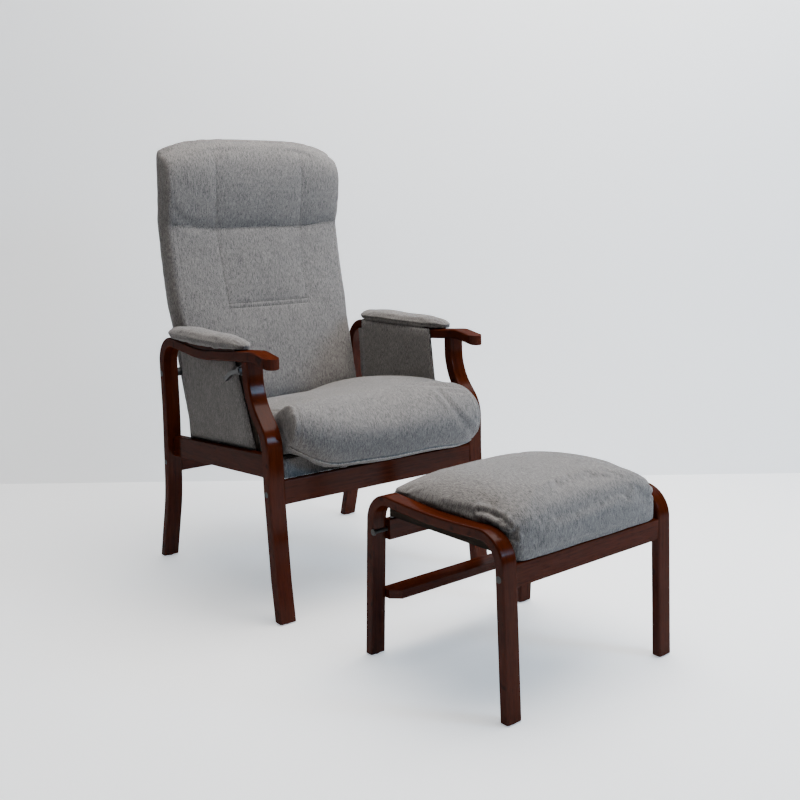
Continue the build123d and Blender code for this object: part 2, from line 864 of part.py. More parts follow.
def back_straps():
    """Straps across the front of the backrest frame, which follow its curve."""
    shift = Pos(0, -(back_frame_thickness + strap_thickness) / 2)
    layer = bent_strip(back_path(), shift * Rectangle(bracket_inner_x * 2, strap_thickness))
    straps = []
    for share in back_strap_shares:
        plane = path_plane(back_path(), share)
        zone = Box(cushion_half * 2, back_frame_thickness * 2, back_strap_height)
        straps.append(layer & (plane.location * zone))
    return Compound(children=straps)


def make_back():
    """Backrest: frame, straps, brackets, upholstery and rear cover."""
    save_pair("back_side_member", back_side_member())
    low_member, top_member = back_cross_members()
    save("back_low_member", low_member)
    save("back_top_member", top_member)
    save("back_straps", back_straps())
    save("back_brackets", pair_of(back_bracket()))
    path = back_path()
    front_depth = back_frame_thickness / 2 + strap_thickness + soft_gap
    pocket_depth = front_depth + back_frame_thickness
    pocket_section = Pos(0, pocket_depth / 2 - front_depth) * Rectangle(
        (bracket_outer_x + soft_gap) * 2, pocket_depth)
    form = back_form() - bent_strip(path, pocket_section)
    room = side_plate(bracket_outline(soft_gap), bracket_inner_x - soft_gap, bracket_outer_x + soft_gap)
    shaft = rod(bracket_inner_x, cushion_half + overrun, *pivot, pivot_radius + soft_gap)
    form = form - room - mirror(room, about=Plane.YZ)
    form = form - shaft - mirror(shaft, about=Plane.YZ)
    seam = Plane.XY.offset(back_z(head_seam_share))
    save("back_cushion", split(form, bisect_by=seam, keep=Keep.BOTTOM))
    save("head_cushion", split(form, bisect_by=seam, keep=Keep.TOP))
    cover_shift = Pos(0, (back_frame_thickness + back_cover_thickness) / 2)
    cover_section = cover_shift * Rectangle(bracket_outer_x * 2, back_cover_thickness)
    save("back_rear_cover", bent_strip(path, cover_section))


def make_pivots():
    """Pivot bolts through the rear legs, and the spacers beside the backrest."""
    length = leg_outer_x - pivot_head_height - bracket_inner_x + pivot_inner_reach
    bolt = head_bolt(pivot, pivot_head_radius, pivot_head_height, pivot_radius, length)
    save("pivot_bolts", pair_of(bolt))
    ring = rod(cushion_half + soft_gap, leg_inner_x, *pivot, spacer_radius)
    ring -= rod(cushion_half, leg_inner_x, *pivot, pivot_radius + running_gap)
    save("pivot_spacers", pair_of(ring))


# Seat


def seat_frame_members():
    """Front, rear and left members of the seat frame."""
    front = block(-cushion_half, cushion_half, 0, seat_member_width, 0, seat_member_height)
    side_x = seat_frame_half - seat_member_width
    side = block(side_x, seat_frame_half, seat_member_width,
                 seat_frame_length - seat_member_width, 0, seat_member_height)
    rear = block(-seat_frame_half, seat_frame_half, seat_frame_length - seat_member_width,
                 seat_frame_length, 0, seat_member_height)
    hole = rod(seat_frame_half - link_pin_seat, seat_frame_half, seat_frame_length - link_pin_inset,
               link_pin_height, link_pin_radius)
    rear = rear - hole - mirror(hole, about=Plane.YZ)
    return front, side, rear


def seat_straps():
    """Straps across the top of the seat frame, evenly spaced."""
    first = seat_member_width + seat_strap_width / 2
    span = seat_frame_length - first * 2
    straps = []
    for index in range(seat_strap_count):
        y = first + span * index / (seat_strap_count - 1)
        strap = Box(seat_frame_half * 2, seat_strap_width, strap_thickness)
        straps.append(Pos(0, y, seat_member_height + strap_thickness / 2) * strap)
    return Compound(children=straps)


def seat_base_cover():
    """Fabric wrapped round the front member and its ends."""
    outer_x = cushion_half + base_cover_thickness - soft_gap
    cover = block(-outer_x, outer_x, -base_cover_thickness, seat_member_width,
                  -base_cover_lip, seat_member_height)
    return cover - block(-cushion_half, cushion_half, 0, seat_member_width + overrun,
                         -base_cover_lip - overrun, seat_member_height + overrun)


def cushion_section(share):
    """The seat cushion's side view at a share of its half width."""
    x = cushion_half * share
    inset = cushion_side_inset * abs(share) ** side_power
    tuck = cushion_corner_tuck * abs(share) ** cushion_tuck_power
    crown = cushion_crown * (1 - share ** 2)
    underside = seat_member_height + strap_thickness + soft_gap
    root_y = -base_cover_thickness - soft_gap
    root = (x, root_y, cushion_nose_root_height + tuck / 2)
    low = (x, -cushion_nose_low_front + tuck / 2, cushion_nose_low_height + tuck / 2)
    nose = (x, -cushion_nose_front + tuck, cushion_nose_mid_height)
    brow = (x, cushion_brow_back, cushion_brow_height - inset + crown / 2)
    middle = (x, seat_frame_length * cushion_mid_back_share, cushion_mid_height - inset + crown)
    rear_y = seat_frame_length - cushion_rear_inset - inset / 2
    rear = (x, rear_y, cushion_rear_height - inset + crown / 2)
    end = (x, seat_frame_length - cushion_end_inset - inset / 2, cushion_end_height)
    low_rear = (x, rear_y, underside)
    low_front = (x, root_y, underside)
    edges = [
        Line(low_front, root),
        Line(root, low),
        ThreePointArc(low, nose, brow),
        ThreePointArc(brow, middle, rear),
        ThreePointArc(rear, end, low_rear),
        Line(low_rear, low_front),
    ]
    return make_face(Wire(edges))


def seat_cushion():
    """Loose seat cushion with a rounded nose that hangs before the seat frame."""
    return loft([cushion_section(share) for share in across(station_shares)])


def slide_channel():
    """Channel on the side rail, open towards the seat."""
    mouth_x = cushion_half + slide_gap * 3
    rear = seat_frame_length - channel_rear_inset
    channel = block(mouth_x, leg_inner_x, channel_front, rear,
                    channel_low, channel_low + channel_height)
    middle = channel_low + channel_height / 2
    half = tongue_height / 2 + slide_gap
    return channel - block(mouth_x - overrun, leg_inner_x - channel_wall, channel_front - overrun,
                           rear + overrun, middle - half, middle + half)


def slide_tongue():
    """Tongue on the seat frame that runs in the channel."""
    middle = channel_low + channel_height / 2
    return block(seat_frame_half, leg_inner_x - channel_wall - slide_gap, tongue_front,
                 seat_frame_length - tongue_rear_inset,
                 middle - tongue_height / 2, middle + tongue_height / 2)


def make_seat():
    """Seat frame, straps, cover, cushion, slides and link pins."""
    front, side, rear = seat_frame_members()
    save("seat_front_member", slide_place * front)
    save_pair("seat_side_member", slide_place * side)
    save("seat_rear_member", slide_place * rear)
    save("seat_straps", slide_place * seat_straps())
    save("seat_base_cover", slide_place * seat_base_cover())
    save("seat_cushion", slide_place * seat_cushion())
    save("slide_channels", slide_place * pair_of(slide_channel()))
    save("slide_tongues", slide_place * pair_of(slide_tongue()))
    pin = rod(seat_frame_half - link_pin_seat, bracket_outer_x + link_pin_overlap,
              seat_frame_length - link_pin_inset, link_pin_height, link_pin_radius)
    save("seat_link_pins", slide_place * pair_of(pin))


# Gas spring


def lug_pair(along, front, rear):
    """Two ears round an eye, from front to rear along the slide."""
    inner = spring_eye_width / 2 + slide_gap
    ears = []
    for side in (-1, 1):
        near = min(side * inner, side * (inner + lug_thickness))
        far = max(side * inner, side * (inner + lug_thickness))
        ears.append(block(near, far, front, rear, -spring_drop - spring_eye_radius,
                          -spring_drop + spring_eye_radius))
    hole = rod(-inner - overrun, inner + overrun, along, -spring_drop, spring_pin_radius)
    return ears[0] + ears[1] - hole


def spring_pin(along):
    """The pin through an eye and its ears."""
    reach = spring_eye_width / 2 + slide_gap + lug_thickness + spring_pin_overlap
    return rod(-reach, reach, along, -spring_drop, spring_pin_radius)


def eye(along, shank_from, shank_to, shank_radius):
    """A flat eye on the end of a shank that lies along the slide."""
    ring = rod(-spring_eye_width / 2, spring_eye_width / 2, along, -spring_drop, spring_eye_radius)
    length = shank_to - shank_from
    shank = Pos(0, shank_from + length / 2, -spring_drop) * Rot(90, 0, 0) * Cylinder(shank_radius, length)
    hole = rod(-overrun, overrun, along, -spring_drop, spring_pin_radius)
    return ring + shank - hole


def make_gas_spring():
    """Cylinder on the front rail, rod on the seat frame, and what holds them."""
    body = eye(spring_front_eye, spring_front, spring_front + spring_length, spring_radius)
    bore_length = spring_length - (spring_bore_front - spring_front) + overrun
    bore = Pos(0, spring_bore_front + bore_length / 2, -spring_drop) * Rot(90, 0, 0) * Cylinder(
        spring_rod_radius + running_gap, bore_length)
    save("gas_spring_cylinder", slide_place * (body - bore))
    rear_eye = seat_frame_length - link_pin_inset
    piston_rod = eye(rear_eye, spring_rod_front, rear_eye, spring_rod_radius)
    save("gas_spring_rod", slide_place * piston_rod)
    front_y = front_bolt[0] - front_leg_thickness / 2 + front_rail_setback + cross_rail_thickness
    plate_top = front_rail_bottom_z + front_rail_height - rail_edge_radius
    plate = block(-lug_plate_width / 2, lug_plate_width / 2, front_y, front_y + lug_plate_thickness,
                  plate_top - lug_plate_height, plate_top)
    ears = slide_place * lug_pair(spring_front_eye, 0, spring_front_eye + spring_eye_radius)
    ears = split(ears, bisect_by=Plane.XZ.offset(-front_y), keep=Keep.BOTTOM)
    save("gas_spring_front_bracket", plate + ears)
    rear_plate = block(-lug_plate_width / 2, lug_plate_width / 2,
                       seat_frame_length - seat_member_width, seat_frame_length,
                       -lug_plate_thickness, 0)
    rear_ears = lug_pair(rear_eye, rear_eye - spring_eye_radius, rear_eye + spring_eye_radius)
    bridge = block(-lug_plate_width / 2, lug_plate_width / 2, rear_eye - spring_eye_radius,
                   rear_eye + spring_eye_radius, -spring_drop + spring_eye_radius, 0)
    bridge -= block(-spring_eye_width / 2 - slide_gap, spring_eye_width / 2 + slide_gap,
                    rear_eye - overrun, rear_eye + overrun, -spring_drop, -lug_plate_thickness)
    save("gas_spring_rear_bracket", slide_place * (rear_plate + rear_ears + bridge))
    save("gas_spring_front_pin", slide_place * spring_pin(spring_front_eye))
    save("gas_spring_rear_pin", slide_place * spring_pin(rear_eye))


# Release lever


def make_lever():
    """Hand lever on a housing that is fixed to the right side board."""
    hub = (lever_rear_waist_y, lever_pivot_z)
    knee = (lever_knee_y, lever_knee_z)
    tip = (lever_tip_y, lever_tip_z)
    housing_x = board_outer_x + lever_housing_depth
    blade_x = housing_x + slide_gap
    outline = bar(hub, knee, lever_width) + bar(knee, tip, lever_width)
    outline += Pos(*hub) * Circle(lever_hub_radius)
    lever = side_plate(outline, blade_x, blade_x + lever_thickness)
    lever -= rod(blade_x - overrun, blade_x + overrun, *hub, lever_pin_radius + running_gap)
    save("release_lever", mirror(lever, about=Plane.YZ))
    cap_x = blade_x + lever_thickness + slide_gap
    housing = rod(board_outer_x, housing_x, *hub, lever_housing_radius)
    housing += rod(board_outer_x, cap_x + lever_cap_height, *hub, lever_pin_radius)
    housing += rod(cap_x, cap_x + lever_cap_height, *hub, lever_cap_radius)
    save("lever_housing", mirror(housing, about=Plane.YZ))


# Footstool


def stool_bolt_points():
    """Side view of the bolts through the stool's front and rear legs."""
    z = stool_rail_bottom_z + stool_rail_height / 2
    front_y = stool_rail_setback + stool_rail_thickness / 2
    rear_y = stool_rear_rail_y + stool_rail_thickness / 2
    return ((front_y, z), (rear_y, z))


def stool_side_frame():
    """Front leg, top and rear leg of one side, bent from one strip."""
    front_foot = (stool_front_foot_y, 0)
    front_corner = (stool_front_corner_y, stool_front_corner_z)
    rear_corner = (stool_rear_corner_y, stool_rear_corner_z)
    rear_foot = (stool_rear_foot_y, 0)
    middle_y = (stool_front_corner_y + stool_rear_corner_y) / 2
    middle_z = (stool_front_corner_z + stool_rear_corner_z) / 2
    points = [
        beyond(front_foot, front_corner, overrun),
        front_corner,
        (middle_y, middle_z - stool_saddle_drop),
        rear_corner,
        beyond(rear_foot, rear_corner, overrun),
    ]
    radii = [stool_corner_radius, stool_saddle_radius, stool_corner_radius]
    path = strip_path(points, radii)
    section = RectangleRounded(stool_leg_width, stool_leg_thickness, stool_edge_radius)
    strip = Pos(stool_centre_x, 0, 0) * bent_strip(path, section)
    strip = split(strip, bisect_by=Plane.XY.offset(glide_height), keep=Keep.TOP)
    for point in stool_bolt_points():
        strip -= rod(stool_inner_x - overrun, stool_half, *point, bolt_radius + bolt_gap)
        strip -= rod(stool_half - bolt_head_height, stool_half + overrun, *point,
                     bolt_head_radius + bolt_gap)
    return strip


def stool_rail(y_from, point):
    """A rail between the stool's side frames."""
    rail = block(-stool_inner_x, stool_inner_x, y_from, y_from + stool_rail_thickness,
                 stool_rail_bottom_z, stool_rail_bottom_z + stool_rail_height)
    rail = fillet(rail.edges().filter_by(Axis.X), rail_edge_radius)
    hole = rod(stool_half - bolt_head_height - bolt_length, stool_half, *point, bolt_radius + bolt_gap)
    return rail - hole - mirror(hole, about=Plane.YZ)


def stretcher():
    """Flat board between the rear legs, with its front corners cut off."""
    board = block(-stool_inner_x, stool_inner_x, stretcher_front_y, stretcher_rear_y,
                  stretcher_bottom_z, stretcher_bottom_z + stretcher_height)
    front_corners = board.edges().filter_by(Axis.Z).group_by(Axis.Y)[0]
    return chamfer(front_corners, stretcher_chamfer)


def stool_bolts():
    """Four bolts, with their heads flush in the side frames."""
    bolts = []
    for point in stool_bolt_points():
        under_head = stool_half - bolt_head_height
        bolt = rod(under_head, stool_half, *point, bolt_head_radius)
        bolt += rod(under_head - bolt_length, under_head, *point, bolt_radius)
        bolts += [bolt, mirror(bolt, about=Plane.YZ)]
    return Compound(children=bolts)


def stool_glides():
    """Four glides under the stool's feet."""
    glides = []
    for foot_y in (stool_front_foot_y, stool_rear_foot_y):
        glide = Cylinder(stool_glide_radius, glide_height)
        glide = Pos(stool_centre_x, foot_y, glide_height / 2) * glide
        glides += [glide, mirror(glide, about=Plane.YZ)]
    return Compound(children=glides)


def stool_cushion_section(share):
    """The stool cushion's side view at a share of its half width."""
    x = (stool_inner_x - soft_gap) * share
    inset = stool_cushion_side_inset * abs(share) ** side_power
    fall = stool_cushion_side_fall * abs(share) ** stool_cushion_fall_power + inset / 2
    low_z = stool_rail_bottom_z + stool_rail_height + soft_gap
    front_y = stool_cushion_front_y + inset
    rear_y = stool_cushion_rear_y - inset
    middle_z = stool_cushion_middle_z - fall
    front_brow_z = middle_z - stool_cushion_front_brow_fall
    low_front = (x, front_y, low_z)
    high_front = (x, front_y, front_brow_z - stool_cushion_front_curve)
    front_brow = (x, front_y + stool_cushion_front_brow, front_brow_z)
    middle = (x, (front_y + rear_y) / 2, middle_z)
    rear_brow_z = middle_z - stool_cushion_rear_brow_fall
    rear_brow = (x, rear_y - stool_cushion_rear_brow, rear_brow_z)
    low_rear = (x, rear_y, low_z)
    top = ThreePointArc(front_brow, middle, rear_brow)
    edges = [
        Line(low_front, high_front),
        TangentArc(front_brow, high_front, tangent=-(top % 0)),
        top,
        TangentArc(rear_brow, low_rear, tangent=top % 1),
        Line(low_rear, low_front),
    ]
    return make_face(Wire(edges))


def stool_cushion():
    """Domed cushion over the deck, with its front and rear down to the rails."""
    form = loft([stool_cushion_section(share) for share in across(station_shares)])
    front_y = stool_rail_setback + stool_rail_thickness + soft_gap
    rear_y = stool_rear_rail_y - soft_gap
    return form - block(-stool_half, stool_half, front_y, rear_y,
                        stool_rail_bottom_z, deck_top_z + soft_gap)


def make_stool():
    """The footstool, which stands free in front of the chair."""
    place = Pos(0, chair_front_y, 0) * stool_place
    front_point, rear_point = stool_bolt_points()
    save_pair("stool_side_frame", stool_side_frame(), place)
    save("stool_front_rail", stool_rail(stool_rail_setback, front_point), place)
    save("stool_rear_rail", stool_rail(stool_rear_rail_y, rear_point), place)
    save("stool_stretcher", stretcher(), place)
    deck_front = stool_rail_setback + stool_rail_thickness + soft_gap * 2
    deck_rear = stool_rear_rail_y - soft_gap * 2
    batten = block(stool_inner_x - batten_width, stool_inner_x, deck_front, deck_rear,
                   batten_bottom_z, deck_bottom_z)
    save("stool_battens", pair_of(batten), place)
    deck = block(-stool_inner_x, stool_inner_x, deck_front, deck_rear, deck_bottom_z, deck_top_z)
    save("stool_deck", deck, place)
    save("stool_cushion", stool_cushion(), place)
    save("stool_bolts", stool_bolts(), place)
    save("stool_glides", stool_glides(), place)


os.makedirs("parts", exist_ok=True)
make_frame()
make_arm_pads()
make_side_panels()
make_back()
make_pivots()
make_seat()
make_gas_spring()
make_lever()
make_stool()
print("seat travel at full recline, mm:", round(slot_ends()[2], 2))
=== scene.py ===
import bpy
import bmesh
import math
import numpy as np
from mathutils import Matrix, Vector
from mathutils.bvhtree import BVHTree
from mathutils.kdtree import KDTree


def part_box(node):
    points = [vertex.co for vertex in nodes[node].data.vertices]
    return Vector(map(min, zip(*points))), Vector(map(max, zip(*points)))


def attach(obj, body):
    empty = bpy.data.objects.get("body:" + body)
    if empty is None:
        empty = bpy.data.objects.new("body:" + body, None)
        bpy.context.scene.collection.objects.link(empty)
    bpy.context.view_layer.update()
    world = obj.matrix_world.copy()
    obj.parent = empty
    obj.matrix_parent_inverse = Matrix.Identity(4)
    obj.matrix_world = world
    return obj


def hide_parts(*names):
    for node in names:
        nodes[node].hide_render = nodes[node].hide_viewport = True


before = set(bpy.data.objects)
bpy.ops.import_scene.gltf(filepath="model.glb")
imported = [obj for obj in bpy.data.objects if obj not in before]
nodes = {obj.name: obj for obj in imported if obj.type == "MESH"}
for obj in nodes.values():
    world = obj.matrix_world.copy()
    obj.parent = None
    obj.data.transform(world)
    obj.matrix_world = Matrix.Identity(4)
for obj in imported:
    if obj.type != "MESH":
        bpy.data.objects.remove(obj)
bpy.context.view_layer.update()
scene = bpy.context.scene


# Room and camera.
# A pale floor and a pale wall close behind the chair glow only for the camera and in mirrors. A warm
# ceiling light and a cool window light the room, seen from the sitter's right, a little above the seat.
eye = Vector((-1.44087, -2.01350, 0.96193))
turn, dip, tilt = (math.radians(angle) for angle in (-38.30, -11.83, -0.79))
ahead = Vector((-math.sin(turn) * math.cos(dip), math.cos(turn) * math.cos(dip), math.sin(dip)))
level = Vector((math.cos(turn), math.sin(turn), 0))
above = level.cross(ahead)
across = level * math.cos(tilt) + above * math.sin(tilt)
upward = above * math.cos(tilt) - level * math.sin(tilt)
view = bpy.data.cameras.new("camera")
view.sensor_width = 36.0
view.lens = 47.0772
view.shift_x = -0.04834
view.shift_y = 0.02551
camera = bpy.data.objects.new("camera", view)
scene.collection.objects.link(camera)
camera.matrix_world = Matrix((
    (across.x, upward.x, -ahead.x, eye.x),
    (across.y, upward.y, -ahead.y, eye.y),
    (across.z, upward.z, -ahead.z, eye.z),
    (0, 0, 0, 1)))
scene.camera = camera


def place_node(tree, kind, inputs, **settings):
    """Add a node, and set or link its inputs by name or number; a node given as one stands for its first output."""
    made = tree.nodes.new(kind if "Node" in kind else "ShaderNode" + kind)
    for name, value in settings.items():
        setattr(made, name, value)
    for name, value in inputs.items():
        if isinstance(value, bpy.types.Node):
            value = value.outputs[0]
        if isinstance(value, bpy.types.NodeSocket):
            tree.links.new(value, made.inputs[name])
        else:
            made.inputs[name].default_value = value
    return made


def new_material(name):
    """A material with an empty tree."""
    material = bpy.data.materials.new(name)
    material.use_nodes = True
    material.node_tree.nodes.clear()
    return material, material.node_tree


def new_object(name, points, faces, material=None, smooth=True):
    """A mesh object at the origin, with its place in its points."""
    mesh = bpy.data.meshes.new(name)
    mesh.from_pydata([tuple(point) for point in points], [], faces)
    mesh.update()
    mesh.polygons.foreach_set("use_smooth", [smooth] * len(mesh.polygons))
    made = bpy.data.objects.new(name, mesh)
    scene.collection.objects.link(made)
    if material:
        mesh.materials.append(material)
    return made


room_paint, tree = new_material("room_paint")
where = place_node(tree, "TexCoord", {}).outputs["Object"]
cloud = place_node(tree, "TexNoise", {"Vector": where, "Scale": 1.7, "Detail": 2.0})
tint = place_node(tree, "Mix", {0: cloud, 6: (0.88, 0.885, 0.89, 1), 7: (0.93, 0.932, 0.935, 1)}, data_type="RGBA")
ray = place_node(tree, "LightPath", {})
seen_or_mirrored = place_node(tree, "Math", {0: ray.outputs["Is Camera Ray"], 1: ray.outputs["Is Glossy Ray"]},
    operation="MAXIMUM")
in_sight = place_node(tree, "Math", {0: seen_or_mirrored, 1: ray.outputs["Is Transmission Ray"]}, operation="MAXIMUM")
backdrop_white = place_node(tree, "Math", {0: in_sight, 1: 0.56}, operation="MULTIPLY")
paint = place_node(tree, "BsdfPrincipled",
    {"Base Color": tint.outputs[2], "Roughness": 0.7, "Emission Color": (0.88, 0.94, 1.0, 1),
    "Emission Strength": backdrop_white, "Specular IOR Level": 0.2})
clear = place_node(tree, "BsdfTransparent", {})
facing = place_node(tree, "NewGeometry", {})
sides = place_node(tree, "MixShader", {0: facing.outputs["Backfacing"], 1: paint, 2: clear})
place_node(tree, "OutputMaterial", {"Surface": sides})

floor_reach = 7.0
floor = new_object("floor", [(-floor_reach, -floor_reach, 0), (floor_reach, -floor_reach, 0),
    (floor_reach, floor_reach, 0), (-floor_reach, floor_reach, 0)], [(0, 1, 2, 3)], room_paint, False)
wall_distance = 3.595
wall_foot = Vector((eye.x, eye.y, 0)) + Vector((ahead.x, ahead.y, 0)).normalized() * wall_distance
wall_half, wall_top = 5.0, 3.2
corners = [wall_foot - level * wall_half, wall_foot + level * wall_half]
wall = new_object("wall", [corners[0], corners[1], corners[1] + Vector((0, 0, wall_top)),
    corners[0] + Vector((0, 0, wall_top))], [(0, 1, 2, 3)], room_paint, False)


def softbox(name, place, aim, width, height, power, colour):
    """A flat lamp that faces a point."""
    lamp = bpy.data.lights.new(name, "AREA")
    lamp.shape = "RECTANGLE"
    lamp.size, lamp.size_y = width, height
    lamp.energy = power
    lamp.color = colour
    made = bpy.data.objects.new(name, lamp)
    made.location = place
    made.rotation_euler = (Vector(aim) - Vector(place)).to_track_quat("-Z", "Y").to_euler()
    scene.collection.objects.link(made)


softbox("ceiling_light", (0.7, -0.2, 2.8), (0.4, 0.1, 0.2), 2.8, 2.8, 214.0, (1.0, 0.955, 0.91))
softbox("window_light", (2.0, -3.35, 1.8), (0, 0, 0.5), 0.7, 0.9, 74.0, (0.38, 0.67, 1.0))
world = bpy.data.worlds.new("room_air")
scene.world = world
world.use_nodes = True
air = world.node_tree.nodes["Background"]
air.inputs["Color"].default_value = (0.80, 0.83, 0.87, 1)
air.inputs["Strength"].default_value = 0.04


# Bent frame and rails.
# Each arm and rear leg is one strip of laminated wood, and so is each S-bent front leg. They are stained
# dark cherry and lacquered, and bolted to straight rails of the same finish.
cherry_dark = (0.014, 0.0026, 0.0010, 1)
cherry_light = (0.066, 0.0115, 0.0032, 1)


def new_group(name, takes):
    """A shader node group with its inputs, which gives a colour, a roughness and a height."""
    group = bpy.data.node_groups.new(name, "ShaderNodeTree")
    for label, kind, value in takes:
        group.interface.new_socket(label, in_out="INPUT", socket_type="NodeSocket" + kind).default_value = value
    for label, kind in (("Colour", "Color"), ("Roughness", "Float"), ("Height", "Float")):
        group.interface.new_socket(label, in_out="OUTPUT", socket_type="NodeSocket" + kind)
    return group, group.nodes.new("NodeGroupInput").outputs


stained_grain, given = new_group("stained_grain", [
    ("Place", "Vector", (0, 0, 0)), ("Dark", "Color", cherry_dark), ("Light", "Color", cherry_light),
    ("Lines", "Float", 260.0)])
fine = place_node(stained_grain, "TexNoise",
    {"Vector": given["Place"], "Scale": given["Lines"], "Detail": 4.0, "Roughness": 0.62})
coarse_scale = place_node(stained_grain, "Math", {0: given["Lines"], 1: 0.11}, operation="MULTIPLY")
coarse = place_node(stained_grain, "TexNoise",
    {"Vector": given["Place"], "Scale": coarse_scale, "Detail": 2.0, "Distortion": 0.6})
both = place_node(stained_grain, "Mix", {0: 0.45, 2: fine, 3: coarse}, data_type="FLOAT")
shade = place_node(stained_grain, "MapRange",
    {"Value": both, "From Min": 0.34, "From Max": 0.68, "To Min": 0.30, "To Max": 0.90})
stain = place_node(stained_grain, "Mix", {0: shade, 6: given["Dark"], 7: given["Light"]}, data_type="RGBA")
pore_scale = place_node(stained_grain, "Math", {0: given["Lines"], 1: 3.4}, operation="MULTIPLY")
pores = place_node(stained_grain, "TexNoise", {"Vector": given["Place"], "Scale": pore_scale, "Detail": 1.0})
pits = place_node(stained_grain, "MapRange",
    {"Value": pores, "From Min": 0.60, "From Max": 0.72, "To Min": 1.0, "To Max": 0.55})
pitted = place_node(stained_grain, "Mix",
    {0: 1.0, 6: stain.outputs[2], 7: pits}, data_type="RGBA", blend_type="MULTIPLY")
smears = place_node(stained_grain, "TexNoise", {"Vector": given["Place"], "Scale": 14.0, "Detail": 3.0})
gloss = place_node(stained_grain, "MapRange",
    {"Value": smears, "From Min": 0.3, "From Max": 0.7, "To Min": 0.30, "To Max": 0.46})
rise = place_node(stained_grain, "Math", {0: fine, 1: pits}, operation="MULTIPLY")
place_node(stained_grain, "NodeGroupOutput", {"Colour": pitted.outputs[2], "Roughness": gloss, "Height": rise})


def show_pattern(tree, pattern, relief, depth, looks):
    """Put a pattern's colour, roughness and height, and other looks, on a material's surface."""
    bump = place_node(tree, "Bump", {"Height": pattern.outputs["Height"], "Strength": relief, "Distance": depth})
    surface = place_node(tree, "BsdfPrincipled", {"Base Color": pattern.outputs["Colour"],
        "Roughness": pattern.outputs["Roughness"], "Normal": bump, **looks})
    place_node(tree, "OutputMaterial", {"Surface": surface})


def grained_wood(name, stretch, dark, light, lines, coat, roughness_of_coat, relief):
    """Wood whose grain runs along the axis with the smallest stretch."""
    material, tree = new_material(name)
    where = place_node(tree, "TexCoord", {}).outputs["Object"]
    along = place_node(tree, "Mapping", {"Vector": where, "Scale": stretch})
    grain = place_node(tree, "Group", {"Place": along, "Dark": dark, "Light": light, "Lines": lines},
        node_tree=stained_grain)
    edge_on = place_node(tree, "LayerWeight", {"Blend": 0.5})
    gloss = place_node(tree, "MapRange", {"Value": edge_on.outputs["Facing"], "To Min": coat, "To Max": coat * 0.10})
    show_pattern(tree, grain, relief, 0.0004, {"Coat Weight": gloss, "Coat Roughness": roughness_of_coat,
        "Specular IOR Level": 0.0, "Coat IOR": 1.40})
    return material


def finish(material, *names):
    """Give CAD nodes their material."""
    for name in names:
        node = nodes[name]
        node.data.materials.clear()
        node.data.materials.append(material)
        for polygon in node.data.polygons:
            polygon.material_index = 0


def pair(name):
    """The left and right node of a kind."""
    return name + "_left", name + "_right"


bent_wood = grained_wood("bent_cherry", (1.0, 0.045, 0.045), cherry_dark, cherry_light, 300.0, 0.27, 0.15, 0.12)
cross_wood = grained_wood("cross_cherry", (0.045, 1.0, 1.0), cherry_dark, cherry_light, 240.0, 0.27, 0.15, 0.12)
rail_wood = grained_wood("side_cherry", (1.0, 0.045, 0.8), cherry_dark, cherry_light, 240.0, 0.27, 0.15, 0.12)
finish(bent_wood, *pair("arm_and_rear_leg"), *pair("front_leg"), *pair("stool_side_frame"))
finish(cross_wood, "front_rail", "rear_rail", "stool_front_rail", "stool_rear_rail", "stool_stretcher")
finish(rail_wood, *pair("side_rail"))


# Bolts, glides and bosses.
# Blackened bolts sit flush in the legs, a ribbed plastic boss fills the space beside the backrest's pivot,
# and nylon glides are tapped into the feet.
metal_marks, given = new_group("metal_marks", [
    ("Clean", "Color", (0.5, 0.5, 0.5, 1)), ("Dull", "Color", (0.3, 0.3, 0.3, 1)), ("Grain", "Float", 600.0),
    ("Smooth", "Float", 0.25), ("Rough", "Float", 0.5)])
where = place_node(metal_marks, "TexCoord", {}).outputs["Object"]
patches = place_node(metal_marks, "TexNoise", {"Vector": where, "Scale": 45.0, "Detail": 4.0})
specks = place_node(metal_marks, "TexNoise", {"Vector": where, "Scale": given["Grain"], "Detail": 2.0})
worn = place_node(metal_marks, "MapRange", {"Value": patches, "From Min": 0.4, "From Max": 0.65})
tone = place_node(metal_marks, "Mix", {0: worn, 6: given["Clean"], 7: given["Dull"]}, data_type="RGBA")
fineness = place_node(metal_marks, "MapRange",
    {"Value": specks, "From Min": 0.3, "From Max": 0.7, "To Min": given["Smooth"], "To Max": given["Rough"]})
place_node(metal_marks, "NodeGroupOutput", {"Colour": tone.outputs[2], "Roughness": fineness, "Height": specks})


def marked(name, clean, dull, grain, smooth, rough, metallic, relief):
    """Metal or moulded plastic with slight patches and a fine surface grain."""
    material, tree = new_material(name)
    marks = place_node(tree, "Group", {"Clean": clean, "Dull": dull, "Grain": grain, "Smooth": smooth,
        "Rough": rough}, node_tree=metal_marks)
    show_pattern(tree, marks, relief, 0.0003, {"Metallic": metallic})
    return material


black_bolt = marked("black_bolt", (0.007, 0.0065, 0.006, 1), (0.014, 0.012, 0.011, 1), 700.0, 0.5, 0.7, 0.0, 0.15)
glide_nylon = marked("glide_nylon", (0.045, 0.04, 0.036, 1), (0.07, 0.062, 0.055, 1), 900.0, 0.5, 0.75, 0.0, 0.3)
black_moulding = marked("black_moulding", (0.016, 0.016, 0.017, 1), (0.026, 0.026, 0.027, 1), 1400.0,
    0.32, 0.5, 0.0, 0.3)
zinc = marked("zinc", (0.56, 0.57, 0.60, 1), (0.42, 0.43, 0.44, 1), 500.0, 0.28, 0.48, 1.0, 0.1)
finish(black_bolt, "frame_bolts", "pivot_bolts", "stool_bolts")
finish(glide_nylon, "foot_glides", "stool_glides")
finish(black_moulding, "pivot_spacers")


